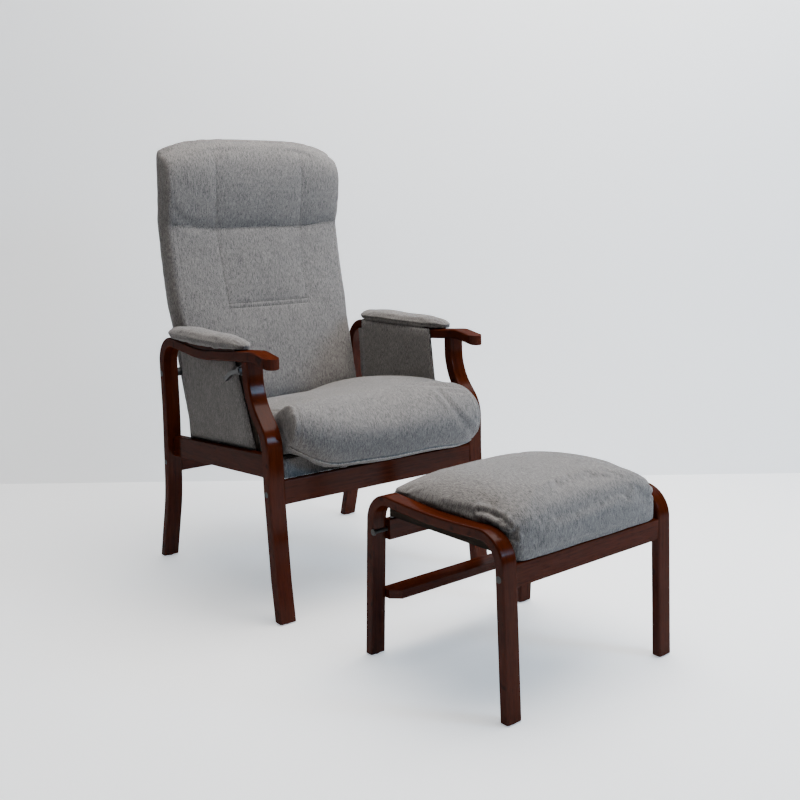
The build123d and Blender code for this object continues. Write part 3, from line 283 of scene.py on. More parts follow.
# Side panels.
# A thin plywood board stands inside each arm. Both its faces are padded with foam under the same woven
# cloth as the cushions, drawn over the edges and stapled behind.
yarn_dark = (0.038, 0.038, 0.040, 1)
yarn_light = (0.262, 0.247, 0.236, 1)
mottled_weave, given = new_group("mottled_weave", [
    ("Dark yarn", "Color", yarn_dark), ("Light yarn", "Color", yarn_light), ("Yarns", "Float", 300.0)])
coordinates = place_node(mottled_weave, "TexCoord", {})
where = coordinates.outputs["Object"]
turned = place_node(mottled_weave, "SeparateXYZ", {"Vector": coordinates.outputs["Normal"]})
sideways = place_node(mottled_weave, "Math", {0: turned.outputs["X"]}, operation="ABSOLUTE")
on_side = place_node(mottled_weave, "MapRange", {"Value": sideways, "From Min": 0.68, "From Max": 0.74})
axes = place_node(mottled_weave, "SeparateXYZ", {"Vector": where})
seen_side = place_node(mottled_weave, "CombineXYZ",
    {"X": axes.outputs["Y"], "Y": axes.outputs["Z"], "Z": axes.outputs["X"]})
cloth_place = place_node(mottled_weave, "Mix", {0: on_side, 4: where, 5: seen_side}, data_type="VECTOR")
long_yarns = place_node(mottled_weave, "Mapping", {"Vector": cloth_place.outputs[1], "Scale": (1.0, 0.16, 0.16)})
streaks = place_node(mottled_weave, "TexNoise",
    {"Vector": long_yarns, "Scale": given["Yarns"], "Detail": 3.0, "Roughness": 0.7})
short_yarns = place_node(mottled_weave, "Mapping", {"Vector": cloth_place.outputs[1], "Scale": (1.0, 0.55, 0.55)})
fleck_scale = place_node(mottled_weave, "Math", {0: given["Yarns"], 1: 2.2}, operation="MULTIPLY")
flecks = place_node(mottled_weave, "TexNoise", {"Vector": short_yarns, "Scale": fleck_scale, "Detail": 2.0})
mixed = place_node(mottled_weave, "Mix", {0: 0.5, 2: streaks, 3: flecks}, data_type="FLOAT")
patchy = place_node(mottled_weave, "TexNoise", {"Vector": where, "Scale": 22.0, "Detail": 3.0})
drift = place_node(mottled_weave, "MapRange",
    {"Value": patchy, "From Min": 0.3, "From Max": 0.7, "To Min": -0.008, "To Max": 0.008})
summed = place_node(mottled_weave, "Math", {0: mixed, 1: drift}, operation="ADD")
lightness = place_node(mottled_weave, "MapRange", {"Value": summed, "From Min": 0.39, "From Max": 0.61})
yarn = place_node(mottled_weave, "Mix",
    {0: lightness, 6: given["Dark yarn"], 7: given["Light yarn"]}, data_type="RGBA")
weave_scale = place_node(mottled_weave, "Math", {0: given["Yarns"], 1: 4.0}, operation="MULTIPLY")
threads = place_node(mottled_weave, "TexVoronoi", {"Vector": cloth_place.outputs[1], "Scale": weave_scale})
raised = place_node(mottled_weave, "Math", {0: threads, 1: flecks}, operation="ADD")
dry = place_node(mottled_weave, "MapRange",
    {"Value": flecks, "From Min": 0.3, "From Max": 0.7, "To Min": 0.78, "To Max": 0.95})
place_node(mottled_weave, "NodeGroupOutput", {"Colour": yarn.outputs[2], "Roughness": dry, "Height": raised})


def woven(name, dark, light, yarns, relief):
    """Woven upholstery cloth with mottled yarns."""
    material, tree = new_material(name)
    weave = place_node(tree, "Group", {"Dark yarn": dark, "Light yarn": light, "Yarns": yarns},
        node_tree=mottled_weave)
    show_pattern(tree, weave, relief, 0.0006, {"Sheen Weight": 0.18, "Sheen Roughness": 0.45,
        "Specular IOR Level": 0.2})
    return material


grey_cloth = woven("grey_cloth", yarn_dark, yarn_light, 640.0, 0.5)
# Painted shade: the plywood boards, beech frame members, deck and stool battens get a near-black colour, the look of
# these parts in shadow, not bare pale wood.
painted_shade_board = grained_wood("painted_shade_board", (1.0, 0.05, 1.0), (0.016, 0.013, 0.011, 1), (0.040, 0.032, 0.026, 1), 160.0,
    0.0, 0.5, 0.2)
finish(painted_shade_board, *pair("side_board"))


def solid_copy(name, *sources):
    """A new object with the joined, merged meshes of CAD nodes."""
    joined = bmesh.new()
    for source in sources:
        joined.from_mesh(nodes[source].data)
    bmesh.ops.remove_doubles(joined, verts=joined.verts, dist=0.00002)
    bmesh.ops.recalc_face_normals(joined, faces=joined.faces)
    made = new_object(name, [], [])
    joined.to_mesh(made.data)
    joined.free()
    return made


def settle(piece):
    """Put the result of a piece's modifiers in its mesh."""
    graph = bpy.context.evaluated_depsgraph_get()
    mesh = bpy.data.meshes.new_from_object(piece.evaluated_get(graph))
    piece.modifiers.clear()
    piece.data = mesh
    mesh.polygons.foreach_set("use_smooth", [True] * len(mesh.polygons))


def even_skin(piece, cell, rounds):
    """Remesh a closed piece into even cells, and smooth them."""
    remesh = piece.modifiers.new("even", "REMESH")
    remesh.mode = "VOXEL"
    remesh.voxel_size = cell
    if rounds:
        smooth = piece.modifiers.new("smooth", "SMOOTH")
        smooth.factor, smooth.iterations = 0.5, rounds
    settle(piece)


def points_of(piece):
    """A piece's points and their normals, as arrays."""
    count = len(piece.data.vertices)
    places, normals = np.zeros(count * 3), np.zeros(count * 3)
    piece.data.vertices.foreach_get("co", places)
    piece.data.vertices.foreach_get("normal", normals)
    return places.reshape(-1, 3), normals.reshape(-1, 3)


def set_points(piece, places):
    """Put a piece's points in new places."""
    piece.data.vertices.foreach_set("co", np.ascontiguousarray(places, dtype=np.float64).ravel())
    piece.data.update()


panel_cell = 0.004
rim_width, rim_fall, wave_depth = 0.026, 0.0042, 0.0007
for side in (-1, 1):
    word = "right" if side < 0 else "left"
    for layer, outward in (("inner", -side), ("outer", side)):
        source = layer + "_side_panel_" + word
        panel = solid_copy(layer + "_padding_" + word, source)
        even_skin(panel, panel_cell, rounds=2)
        places, normals = points_of(panel)
        rim = places[np.abs(normals[:, 0]) < 0.35]
        rim_tree = KDTree(len(rim))
        for index, place in enumerate(rim):
            rim_tree.insert((0, place[1], place[2]), index)
        rim_tree.balance()
        edge = np.array([rim_tree.find((0, place[1], place[2]))[2] for place in places])
        near = np.clip(1 - edge / rim_width, 0, 1) ** 2.2
        facing_out = normals[:, 0] * outward > 0.3
        waves = np.array([math.sin(p[1] * 61 + 3 * p[2]) * math.sin(p[2] * 37 + 2.1) for p in places])
        places[:, 0] -= outward * np.where(facing_out, near * rim_fall + wave_depth * (1 + waves), 0)
        set_points(panel, places)
        panel.data.materials.append(grey_cloth)
        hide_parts(source)
        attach(panel, "chair_frame")


# Arm pads.
# A long foam pad lies on each arm over a shaped block, which two screws hold from below. Its cloth is
# pulled tight, with a seam round the foot and small tucks at the narrow ends.
finish(rail_wood, "arm_pad_blocks")
finish(zinc, "arm_pad_screws")
blow_steps = 20


def blow_up(piece, sewn, push, most):
    """Let air pressure tighten the cover between its sewn points, then divide it once more."""
    start, _ = points_of(piece)
    held = piece.vertex_groups.new(name="sewn")
    for index, weight in sewn:
        held.add([index], weight, "REPLACE")
    cloth = piece.modifiers.new("cover", "CLOTH")
    for name, value in {"quality": 4, "mass": 0.25, "tension_stiffness": 12, "compression_stiffness": 12,
            "shear_stiffness": 4, "bending_stiffness": 0.6, "air_damping": 2, "use_pressure": True,
            "uniform_pressure_force": push}.items():
        setattr(cloth.settings, name, value)
    cloth.settings.effector_weights.gravity = 0
    if sewn:
        cloth.settings.vertex_group_mass = "sewn"
    cloth.collision_settings.use_collision = False
    cloth.point_cache.frame_start, cloth.point_cache.frame_end = 1, blow_steps
    for step in range(1, blow_steps + 1):
        scene.frame_set(step)
    graph = bpy.context.evaluated_depsgraph_get()
    blown = bpy.data.meshes.new_from_object(piece.evaluated_get(graph))
    places = np.zeros(len(blown.vertices) * 3)
    blown.vertices.foreach_get("co", places)
    moved = places.reshape(-1, 3) - start
    bpy.data.meshes.remove(blown)
    piece.modifiers.clear()
    scene.frame_set(1)
    far = np.linalg.norm(moved, axis=1, keepdims=True)
    set_points(piece, start + moved * np.minimum(1, most / np.maximum(far, 1e-9)))
    piece.vertex_groups.clear()
    divide = piece.modifiers.new("divide", "SUBSURF")
    divide.levels = divide.render_levels = 1
    settle(piece)


def shrink(piece, amount):
    """Draw the skin of a piece inwards."""
    places, normals = points_of(piece)
    set_points(piece, places - normals * amount)


def dense(line, step):
    """Points a step apart along a line."""
    found = [Vector(line[0])]
    for start, end in zip(line, line[1:]):
        start, end = Vector(start), Vector(end)
        count = max(1, int((end - start).length / step))
        found += [start.lerp(end, (k + 1) / count) for k in range(count)]
    return found


def distance_to(line, places):
    """How far each place is from a line."""
    close = dense(line, 0.0012)
    tree = KDTree(len(close))
    for index, point in enumerate(close):
        tree.insert(point, index)
    tree.balance()
    return np.array([tree.find(place)[2] for place in places])


def press(piece, line, width, depth, swell_share=0.35):
    """Draw the cover in along a line, with a slight swelling beside it."""
    places, normals = points_of(piece)
    reach = distance_to(line, places)
    drawn = np.exp(-(reach / width) ** 2) - swell_share * np.exp(-((reach - 2.4 * width) / width) ** 2)
    set_points(piece, places - normals * (depth * drawn)[:, None])


def skin_tree(piece):
    """A search tree of a piece's faces."""
    corners = [tuple(vertex.co) for vertex in piece.data.vertices]
    return BVHTree.FromPolygons(corners, [tuple(face.vertices) for face in piece.data.polygons])


def snapped(tree, line, lift):
    """The points of a line brought to the nearest skin, and lifted off it."""
    found = []
    for point in line:
        place, normal, _, _ = tree.find_nearest(point)
        found.append(place + normal * lift)
    return found


def turned_out(piece):
    """The piece, with its faces turned outwards."""
    shell = bmesh.new()
    shell.from_mesh(piece.data)
    bmesh.ops.recalc_face_normals(shell, faces=shell.faces)
    shell.to_mesh(piece.data)
    shell.free()
    return piece


def tube(name, line, radius, sides=8):
    """A round cord along a line."""
    rings = []
    count = len(line)
    for index, point in enumerate(line):
        before, after = line[max(index - 1, 0)], line[min(index + 1, count - 1)]
        heading = (Vector(after) - Vector(before)).normalized()
        aside = heading.orthogonal() if abs(heading.z) > 0.95 else heading.cross(Vector((0, 0, 1)))
        aside.normalize()
        over = heading.cross(aside)
        rings.append([Vector(point) + aside * radius * math.cos(a) + over * radius * math.sin(a)
            for a in (math.tau * k / sides for k in range(sides))])
    points = [point for ring in rings for point in ring]
    faces = []
    for index in range(count - 1):
        for k in range(sides):
            n = (k + 1) % sides
            faces.append((index * sides + k, index * sides + n, (index + 1) * sides + n, (index + 1) * sides + k))
    faces.append(tuple(reversed(range(sides))))
    faces.append(tuple((count - 1) * sides + k for k in range(sides)))
    return turned_out(new_object(name, points, faces))


def ramp(values, start, width):
    """Rises from 0 at the start to 1 a width further on."""
    return np.clip((values - start) / width, 0, 1)


pad_cell, pad_droop, block_half_width = 0.004, 0.006, 0.019
foot_half_width, foot_half_length, foot_height = 0.052, 0.212, 0.0045
for side in (-1, 1):
    word = "right" if side < 0 else "left"
    source = "arm_pad_" + word
    low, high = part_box(source)
    middle_x = (low.x + high.x) / 2
    pad = solid_copy("arm_cushion_" + word, source)
    even_skin(pad, pad_cell, rounds=4)
    shrink(pad, 0.0015)
    blow_up(pad, [], push=3.0, most=0.004)
    places, _ = points_of(pad)
    places[:, 2] = np.maximum(places[:, 2], low.z + 0.0006)
    off_block = ramp(np.abs(places[:, 0] - middle_x), block_half_width, 0.008)
    along = ramp(places[:, 1], low.y, high.y - low.y)
    lowness = np.clip(1 - (places[:, 2] - low.z) / 0.020, 0, 1)
    places[:, 2] -= pad_droop * off_block * lowness * np.sin(math.pi * along) ** 0.6
    set_points(pad, places)
    skin = skin_tree(pad)
    round_foot = [(math.cos(math.tau * k / 72), math.sin(math.tau * k / 72)) for k in range(72)]
    foot_line = snapped(skin, [Vector((middle_x + foot_half_width * a, (low.y + high.y) / 2 + foot_half_length * b,
        low.z + foot_height)) for a, b in round_foot], 0)
    foot_line.append(foot_line[0])
    press(pad, foot_line, width=0.0026, depth=0.0016)
    for end, y in ((-1, low.y), (1, high.y)):
        for spread in (-0.020, -0.008, 0.006, 0.018):
            tuck = [Vector((middle_x + spread * 0.55, y - end * 0.008, low.z + 0.011)),
                Vector((middle_x + spread, y - end * 0.040, low.z + 0.024))]
            press(pad, snapped(skin, dense(tuck, 0.004), 0), width=0.0022, depth=0.0009)
    pad.data.materials.append(grey_cloth)
    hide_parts(source)
    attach(pad, "chair_frame")


# Seat frame.
# Beech members with rubber webbing across, on wooden tongues that slide in black channels inside the arms.
# Cloth is wrapped round the front member and stapled under it.
# Painted shade: the beech seat members and tongues carry the near-black board colour of parts in shadow.
finish(painted_shade_board, "seat_front_member", "seat_rear_member", *pair("seat_side_member"), "slide_tongues")
finish(black_moulding, "slide_channels")
finish(zinc, "seat_link_pins")
webbing, tree = new_material("rubber_webbing")
where = place_node(tree, "TexCoord", {}).outputs["Object"]
ribs = place_node(tree, "TexWave", {"Vector": where, "Scale": 130.0, "Distortion": 0.4}, bands_direction="DIAGONAL")
fuzz = place_node(tree, "TexNoise", {"Vector": where, "Scale": 500.0, "Detail": 2.0})
rib = ribs.outputs["Fac"]
strap_tone = place_node(tree, "Mix", {0: rib, 6: (0.035, 0.035, 0.038, 1), 7: (0.085, 0.083, 0.08, 1)},
    data_type="RGBA")
strap_bump = place_node(tree, "Bump", {"Height": rib, "Strength": 0.5, "Distance": 0.0005})
strap_dry = place_node(tree, "MapRange", {"Value": fuzz, "To Min": 0.65, "To Max": 0.9})
strap_surface = place_node(tree, "BsdfPrincipled",
    {"Base Color": strap_tone.outputs[2], "Roughness": strap_dry, "Normal": strap_bump})
place_node(tree, "OutputMaterial", {"Surface": strap_surface})
finish(webbing, "seat_straps", "back_straps")

slide_tilt = math.radians(4.35)
slide_start = Vector((0, 0.0540165, 0.3385))


def slide_place(x, back, height):
    """A point from its distance back and height along the seat's slide."""
    return Vector((x, slide_start.y + back * math.cos(slide_tilt) + height * math.sin(slide_tilt),
        slide_start.z - back * math.sin(slide_tilt) + height * math.cos(slide_tilt)))


def sheet_faces(rows, columns):
    """The faces of a sheet of rows and columns, over one more row and column of points."""
    firsts = [row * (columns + 1) + column for row in range(rows) for column in range(columns)]
    return [(first, first + columns + 1, first + columns + 2, first + 1) for first in firsts]


wrap_outer_x, wrap_thickness = 0.2665, 0.0014
wrap_turn = [(0.024, 0.0455), (0.014, 0.0455), (0.006, 0.0452), (0.0012, 0.0438), (-0.0010, 0.0410), (-0.0012, 0.034),
    (-0.0012, 0.026), (-0.0012, 0.018), (-0.0012, 0.010), (-0.0012, 0.004), (-0.0012, 0.0012), (-0.0012, 0.0000),
    (-0.0009, -0.0009), (-0.0002, -0.0013), (0.0012, -0.0016), (0.0032, -0.0019), (0.007, -0.0018), (0.013, -0.0012),
    (0.022, -0.0008)]
wrap_columns = 90
wrap_points = []
for row, (back, height) in enumerate(wrap_turn):
    for column in range(wrap_columns + 1):
        x = wrap_outer_x * (2 * column / wrap_columns - 1)
        pull = 0.0006 * math.sin(x * 118 + row * 0.5) + 0.0004 * math.sin(x * 263 + 1.7)
        end_pull = 0.0015 * max(0, (abs(x) - 0.258) / 0.0085) ** 2
        face = 1 if -0.002 < back < 0.0015 else 0
        wrap_points.append(slide_place(x, back + face * (pull * 0.6) + end_pull, height))
wrap = new_object("seat_front_wrap", wrap_points, sheet_faces(len(wrap_turn) - 1, wrap_columns))
thick = wrap.modifiers.new("thick", "SOLIDIFY")
thick.thickness, thick.offset = wrap_thickness, 0
round_off = wrap.modifiers.new("round", "SUBSURF")
round_off.levels = round_off.render_levels = 1
settle(wrap)
wrap.data.materials.append(grey_cloth)
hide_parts("seat_base_cover")
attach(wrap, "seat")


# Seat cushion.
# A loose foam cushion in a sewn cover, thick and rounded at the front, where it hangs before the seat frame.
# A welt runs along the lower edge of the nose; the sides are boxed, and the cover creases at the corners.
cushion_half, sewn_reach = 0.262, 0.006
cushion_shares = [math.sin(math.pi / 2 * k / 14) for k in range(15)]


def bow(start, through, end, count):
    """Points of the arc through three points of a side view."""
    (ax, ay), (bx, by), (cx, cy) = start, through, end
    turn_of = 2 * (ax * (by - cy) + bx * (cy - ay) + cx * (ay - by))
    ux = ((ax ** 2 + ay ** 2) * (by - cy) + (bx ** 2 + by ** 2) * (cy - ay)
        + (cx ** 2 + cy ** 2) * (ay - by)) / turn_of
    uy = ((ax ** 2 + ay ** 2) * (cx - bx) + (bx ** 2 + by ** 2) * (ax - cx)
        + (cx ** 2 + cy ** 2) * (bx - ax)) / turn_of
    radius = math.hypot(ax - ux, ay - uy)
    first, between, last = (math.atan2(y - uy, x - ux) for x, y in (start, through, end))
    onward = (between - first) % math.tau < (last - first) % math.tau
    sweep = (last - first) % math.tau if onward else (last - first) % math.tau - math.tau
    return [(ux + radius * math.cos(first + sweep * k / count), uy + radius * math.sin(first + sweep * k / count))
        for k in range(count)]


def run(start, end, count):
    """Points of a straight run of a side view."""
    return [(start[0] + (end[0] - start[0]) * k / count, start[1] + (end[1] - start[1]) * k / count)
        for k in range(count)]


def lofted(name, loops):
    """A closed skin over loops with equal counts of points."""
    count = len(loops[0])
    points = [point for loop in loops for point in loop]
    faces = []
    for row in range(len(loops) - 1):
        for k in range(count):
            n = (k + 1) % count
            faces.append((row * count + k, row * count + n, (row + 1) * count + n, (row + 1) * count + k))
    for row, backwards in ((0, True), (len(loops) - 1, False)):
        middle = sum((Vector(point) for point in loops[row]), Vector()) / count
        points.append(middle)
        centre = len(points) - 1
        for k in range(count):
            n = (k + 1) % count
            edge = (row * count + k, row * count + n)
            faces.append((edge[1], edge[0], centre) if backwards else (edge[0], edge[1], centre))
    return turned_out(new_object(name, points, faces))


def seat_loop(share):
    """The seat cushion's side view at a share of its half width."""
    size = abs(share)
    inset = 0.020 * size ** 20
    tuck = 0.044 * size ** 8 if share < 0 else 0.012 * size ** 14
    crown = 0.012 * (1 - share ** 2) if share < 0 else 0.012 + 0.004 * share
    ease = ramp(share, 0.02, 0.62)
    hollow = 0.021 * (1 - ease ** 2 * (3 - 2 * ease))
    sag = ramp(share, -0.75, 0.5) * (1 - share ** 2)
    lifted = 0.045 * max(0, (-share - 0.55) / 0.45) ** 1.6 + 0.002 * max(0, (share - 0.84) / 0.16) ** 1.5
    under = 0.0485
    root = (-0.0045, 0.011 + tuck / 2 + lifted * 0.6)
    drop = 0.006 * ramp(share, -0.5, 0.5) + 0.006 * ramp(share, 0.45, 0.35)
    low = (-0.040 - 0.022 * sag + tuck / 2, 0.014 - drop + tuck / 2 + lifted)
    nose = (-0.0915 + tuck, 0.078 + lifted * 0.15)
    brow = (0.016, 0.1615 - inset + crown / 2)
    middle = (0.222, 0.1615 - inset + crown - hollow * 0.75)
    rear = (0.432 - inset / 2, 0.139 - inset + crown / 2 - hollow)
    end = (0.442 - inset / 2, 0.088)
    low_rear = (0.432 - inset / 2, under)
    low_front = (-0.0045, under)
    side_view = (run(low_front, root, 4) + run(root, low, 5) + bow(low, nose, brow, 30) + bow(brow, middle, rear, 40)
        + bow(rear, end, low_rear, 12) + run(low_rear, low_front, 44))
    loop = []
    for back, height in side_view:
        free = ramp(-back, -0.050, 0.070)
        bulge = math.sin(math.pi * ramp(height, 0, 0.165)) ** 0.5
        spread = (0.013 if share < 0 else 0.019) * size ** 5 * free * bulge
        x = (cushion_half - 0.003 + spread) * share
        loop.append(slide_place(x, back, height))
    return loop


seat_shares = [-share for share in reversed(cushion_shares[1:])] + cushion_shares
seat = lofted("seat_pillow", [seat_loop(share) for share in seat_shares])
even_skin(seat, cell=0.006, rounds=4)
shrink(seat, 0.0010)
seam_edges = [seat_loop(share)[9:92] for share in (-0.955, 0.955)]
places, _ = points_of(seat)
sewn = []
for line in seam_edges:
    near = distance_to(line, places)
    sewn += [(int(index), 0.75) for index in np.where(near < sewn_reach)[0]]
blow_up(seat, sewn, push=3.4, most=0.007)
skin = skin_tree(seat)
for line in seam_edges:
    press(seat, snapped(skin, line, 0), width=0.0030, depth=0.0016, swell_share=0.2)
nose_creases = [
    [(0.167, 0.0153, 0.5003), (0.1686, -0.0064, 0.4852), (0.1773, -0.0231, 0.4609), (0.1988, -0.028, 0.4281),
    (0.222, -0.0200, 0.404), (0.246, -0.008, 0.388)],
    [(0.1439, -0.0094, 0.4836), (0.153, -0.0254, 0.4594), (0.1807, -0.0303, 0.4335), (0.206, -0.026, 0.400)],
    [(-0.1676, 0.0033, 0.4932), (-0.181, -0.0162, 0.4722), (-0.1951, -0.0242, 0.4521), (-0.2078, -0.0258, 0.4286)],
    [(-0.2531, 0.0396, 0.483), (-0.2549, 0.0123, 0.4549), (-0.2525, 0.0011, 0.4238)],
    ]
crease_depths = (0.0028, 0.0014, 0.0012, 0.0012)
for line, depth in zip(nose_creases, crease_depths):
    press(seat, snapped(skin, dense(line, 0.006), 0), width=0.0075, depth=depth, swell_share=0.5)
welt_loops = [seat_loop(-0.975 + 1.95 * k / 120) for k in range(121)]
welt_line = snapped(skin_tree(seat), [loop[10].lerp(loop[11], 0.5) for loop in welt_loops], 0.0009)
for _ in range(3):
    welt_line = [welt_line[0]] + [(a + b * 2 + c) / 4 for a, b, c in zip(welt_line, welt_line[1:], welt_line[2:])] + [
        welt_line[-1]]
press(seat, welt_line, width=0.0040, depth=0.0016, swell_share=0.3)
welt = tube("seat_welt", welt_line, radius=0.0022)
piped_cloth = woven("piped_cloth", (0.105, 0.100, 0.097, 1), (0.47, 0.445, 0.415, 1), 420.0, 0.4)
seat.data.materials.append(grey_cloth)
welt.data.materials.append(piped_cloth)
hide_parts("seat_cushion")
for piece in (seat, welt):
    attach(piece, "seat")


# Gas spring and lever.
# A lockable gas spring with zinc-plated brackets and pins lies under the seat. Its moulded lever turns on a
# boss under the right arm.
rod_steel = marked("rod_steel", (0.62, 0.63, 0.65, 1), (0.50, 0.51, 0.53, 1), 900.0, 0.12, 0.22, 1.0, 0.03)
black_lacquer = marked("black_lacquer", (0.020, 0.020, 0.021, 1), (0.032, 0.032, 0.033, 1), 500.0,
    0.22, 0.36, 0.0, 0.08)
finish(black_lacquer, "gas_spring_cylinder")
finish(rod_steel, "gas_spring_rod")
finish(zinc, "gas_spring_front_bracket", "gas_spring_front_pin", "gas_spring_rear_bracket", "gas_spring_rear_pin")
finish(black_moulding, "lever_housing", "release_lever")


# Backrest.
# A curved beech frame with rubber webbing carries one thick upholstery of foam under a sewn cover: a head
# pillow, a centre panel with a flat pocket, and boxed sides. Its open back is closed by a stretched cloth.
# Painted shade: the beech back frame members carry the near-black board colour of parts in shadow.
finish(painted_shade_board, *pair("back_side_member"), "back_low_member", "back_top_member")
finish(zinc, "back_brackets")
back = solid_copy("back_upholstery", "back_cushion", "head_cushion")
even_skin(back, cell=0.006, rounds=0)


def soften(piece, rounds, freedom):
    """Smooth a piece's skin as far as each point is free to move."""
    ends = np.zeros(len(piece.data.edges) * 2, dtype=np.int64)
    piece.data.edges.foreach_get("vertices", ends)
    first, second = ends.reshape(-1, 2).T
    places, _ = points_of(piece)
    count = np.bincount(np.concatenate((first, second)), minlength=len(places))[:, None]
    for _ in range(rounds):
        around = np.zeros_like(places)
        for axis in range(3):
            around[:, axis] = (np.bincount(first, places[second, axis], len(places))
                + np.bincount(second, places[first, axis], len(places)))
        places += (around / count - places) * 0.5 * freedom[:, None]
    set_points(piece, places)


places, normals = points_of(back)
pocket_half, pocket_top, bracket_reach = 0.2525, 1.058, 0.600
inside = (np.abs(places[:, 0]) < pocket_half) & (places[:, 2] < pocket_top) & (normals[:, 1] > -0.35)
inside |= (np.abs(places[:, 0]) < pocket_half) & (places[:, 2] < bracket_reach) & (np.abs(normals[:, 0]) > 0.7)
freedom = np.where(inside, 0.05, 1.0)
soften(back, 3, freedom)
front_face = skin_tree(back)
heights = np.linspace(0.440, 1.100, 67)
front_y = [front_face.ray_cast(Vector((0, -2, height)), Vector((0, 1, 0)))[0].y for height in heights]
places, _ = points_of(back)
behind = places[:, 1] - np.interp(places[:, 2], heights, front_y)
soften(back, 6, freedom * np.clip(1.6 - behind / 0.030, 0, 1))
places, _ = points_of(back)
x, _, z = places.T
x *= 1 + 0.014 * ramp(z, 0.640, 0.06)
z += 0.008 * ramp(z, 1.050, 0.08)
set_points(back, places)


def on_front(tree, line):
    """The points of a front view brought to the skin that faces the front."""
    found = []
    for x, z in line:
        place = tree.ray_cast(Vector((x, -2, z)), Vector((0, 1, 0)))[0]
        if place:
            found.append(place)
    return found


def flat_dense(line, step=0.004):
    """Points a step apart along a line of a front view."""
    return [(point.x, point.z) for point in dense([(x, 0, z) for x, z in line], step)]


head_seam = [(-0.250, 0.9095), (-0.200, 0.9060), (-0.160, 0.9010), (-0.131, 0.8980), (-0.090, 0.8990), (0, 0.9005),
    (0.090, 0.8990), (0.131, 0.8980), (0.160, 0.9010), (0.200, 0.9060), (0.250, 0.9095)]
dart_seams = [[(side * 0.131, 0.899), (side * 0.131, 0.960), (side * 0.131, 1.040), (side * 0.130, 1.100)]
    for side in (-1, 1)]
panel_seams = [[(side * 0.131, 0.897), (side * 0.128, 0.800), (side * 0.124, 0.690)] for side in (-1, 1)]
boxing_seams = [[(side * 0.2465, 0.500), (side * 0.2460, 0.620), (side * 0.2445, 0.750), (side * 0.2440, 0.905),
    (side * 0.2480, 0.970), (side * 0.2540, 1.030), (side * 0.2570, 1.066)] for side in (-1, 1)]
pocket_rows = [[(-0.123, 0.699), (-0.060, 0.6985), (0.060, 0.6985), (0.123, 0.699)],
    [(-0.122, 0.6865), (-0.060, 0.6860), (0.060, 0.6860), (0.122, 0.6865)]]
skin = skin_tree(back)
front_seams = {name: [on_front(skin, flat_dense(line)) for line in lines] for name, lines in (
    ("head", [head_seam]), ("dart", dart_seams), ("panel", panel_seams), ("boxing", boxing_seams),
    ("pocket", pocket_rows))}
places, _ = points_of(back)
sewn = [(int(index), 1.0) for index in np.where(freedom < 0.5)[0]]
for name, weight in (("head", 0.9), ("dart", 0.7), ("panel", 0.5), ("boxing", 0.6), ("pocket", 0.6)):
    for line in front_seams[name]:
        near = distance_to(line, places)
        sewn += [(int(index), weight) for index in np.where((near < sewn_reach) & (freedom > 0.5))[0]]
blow_up(back, sewn, push=3.2, most=0.006)
wide_folds = (("head", 0.015, 0.0024), ("dart", 0.018, 0.0017), ("panel", 0.014, 0.0005))
fine_folds = (("head", 0.0034, 0.0026), ("dart", 0.0034, 0.0009), ("panel", 0.0032, 0.0006),
    ("boxing", 0.0034, 0.0010), ("pocket", 0.0030, 0.0012))
for folds in (wide_folds, fine_folds):
    for name, width, depth in folds:
        skin = skin_tree(back)
        for line in front_seams[name]:
            press(back, snapped(skin, line, 0), width, depth, swell_share=0.0)
soft_folds = [
    ([(0.150, 0.700), (0.185, 0.660), (0.215, 0.600)], 0.016, 0.0010),
    ([(-0.150, 0.700), (-0.190, 0.660), (-0.220, 0.610)], 0.016, 0.0008),
    ([(0.170, 0.760), (0.200, 0.720), (0.228, 0.660)], 0.014, 0.0005),
    ([(-0.254, 0.955), (-0.225, 0.925), (-0.200, 0.912)], 0.010, 0.0020),
    ([(0.205, 0.913), (0.232, 0.928), (0.254, 0.960)], 0.010, 0.0016),
    ]
skin = skin_tree(back)
for line, width, depth in soft_folds:
    press(back, on_front(skin, flat_dense(line)), width, depth, swell_share=0.25)
back.data.materials.append(grey_cloth)
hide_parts("back_cushion", "head_cushion")
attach(back, "backrest")

thread = marked("seam_thread", (0.036, 0.035, 0.035, 1), (0.060, 0.057, 0.055, 1), 1500.0, 0.7, 0.9, 0.0, 0.2)
stitch_tree = bpy.data.node_groups.new("stitch_row", "GeometryNodeTree")
for label, kind, value in (("Row", "Geometry", None), ("Pitch", "Float", 0.005), ("Length", "Float", 0.0034),
        ("Thickness", "Float", 0.0005), ("Unevenness", "Float", 0.05), ("Seed", "Int", 4),
        ("Thread", "Material", None)):
    socket = stitch_tree.interface.new_socket(label, in_out="INPUT", socket_type="NodeSocket" + kind)
    if value is not None:
        socket.default_value = value
stitch_tree.interface.new_socket("Stitches", in_out="OUTPUT", socket_type="NodeSocketGeometry")
given = stitch_tree.nodes.new("NodeGroupInput").outputs
row_curve = place_node(stitch_tree, "GeometryNodeMeshToCurve", {"Mesh": given["Row"]})
spaced = place_node(stitch_tree, "GeometryNodeCurveToPoints", {"Curve": row_curve, "Length": given["Pitch"]},
    mode="LENGTH")
one_stitch = place_node(stitch_tree, "GeometryNodeMeshUVSphere", {"Segments": 8, "Rings": 5, "Radius": 0.5})
thickness_of_stitch = place_node(stitch_tree, "Math", {0: given["Thickness"], 1: 2.0}, operation="MULTIPLY")
size_of_stitch = place_node(stitch_tree, "CombineXYZ",
    {"X": thickness_of_stitch, "Y": thickness_of_stitch, "Z": given["Length"]})
along_row = place_node(stitch_tree, "FunctionNodeAlignRotationToVector", {"Vector": spaced.outputs["Tangent"]},
    axis="Z")
swing_most = place_node(stitch_tree, "CombineXYZ",
    {"X": given["Unevenness"], "Y": given["Unevenness"], "Z": given["Unevenness"]})
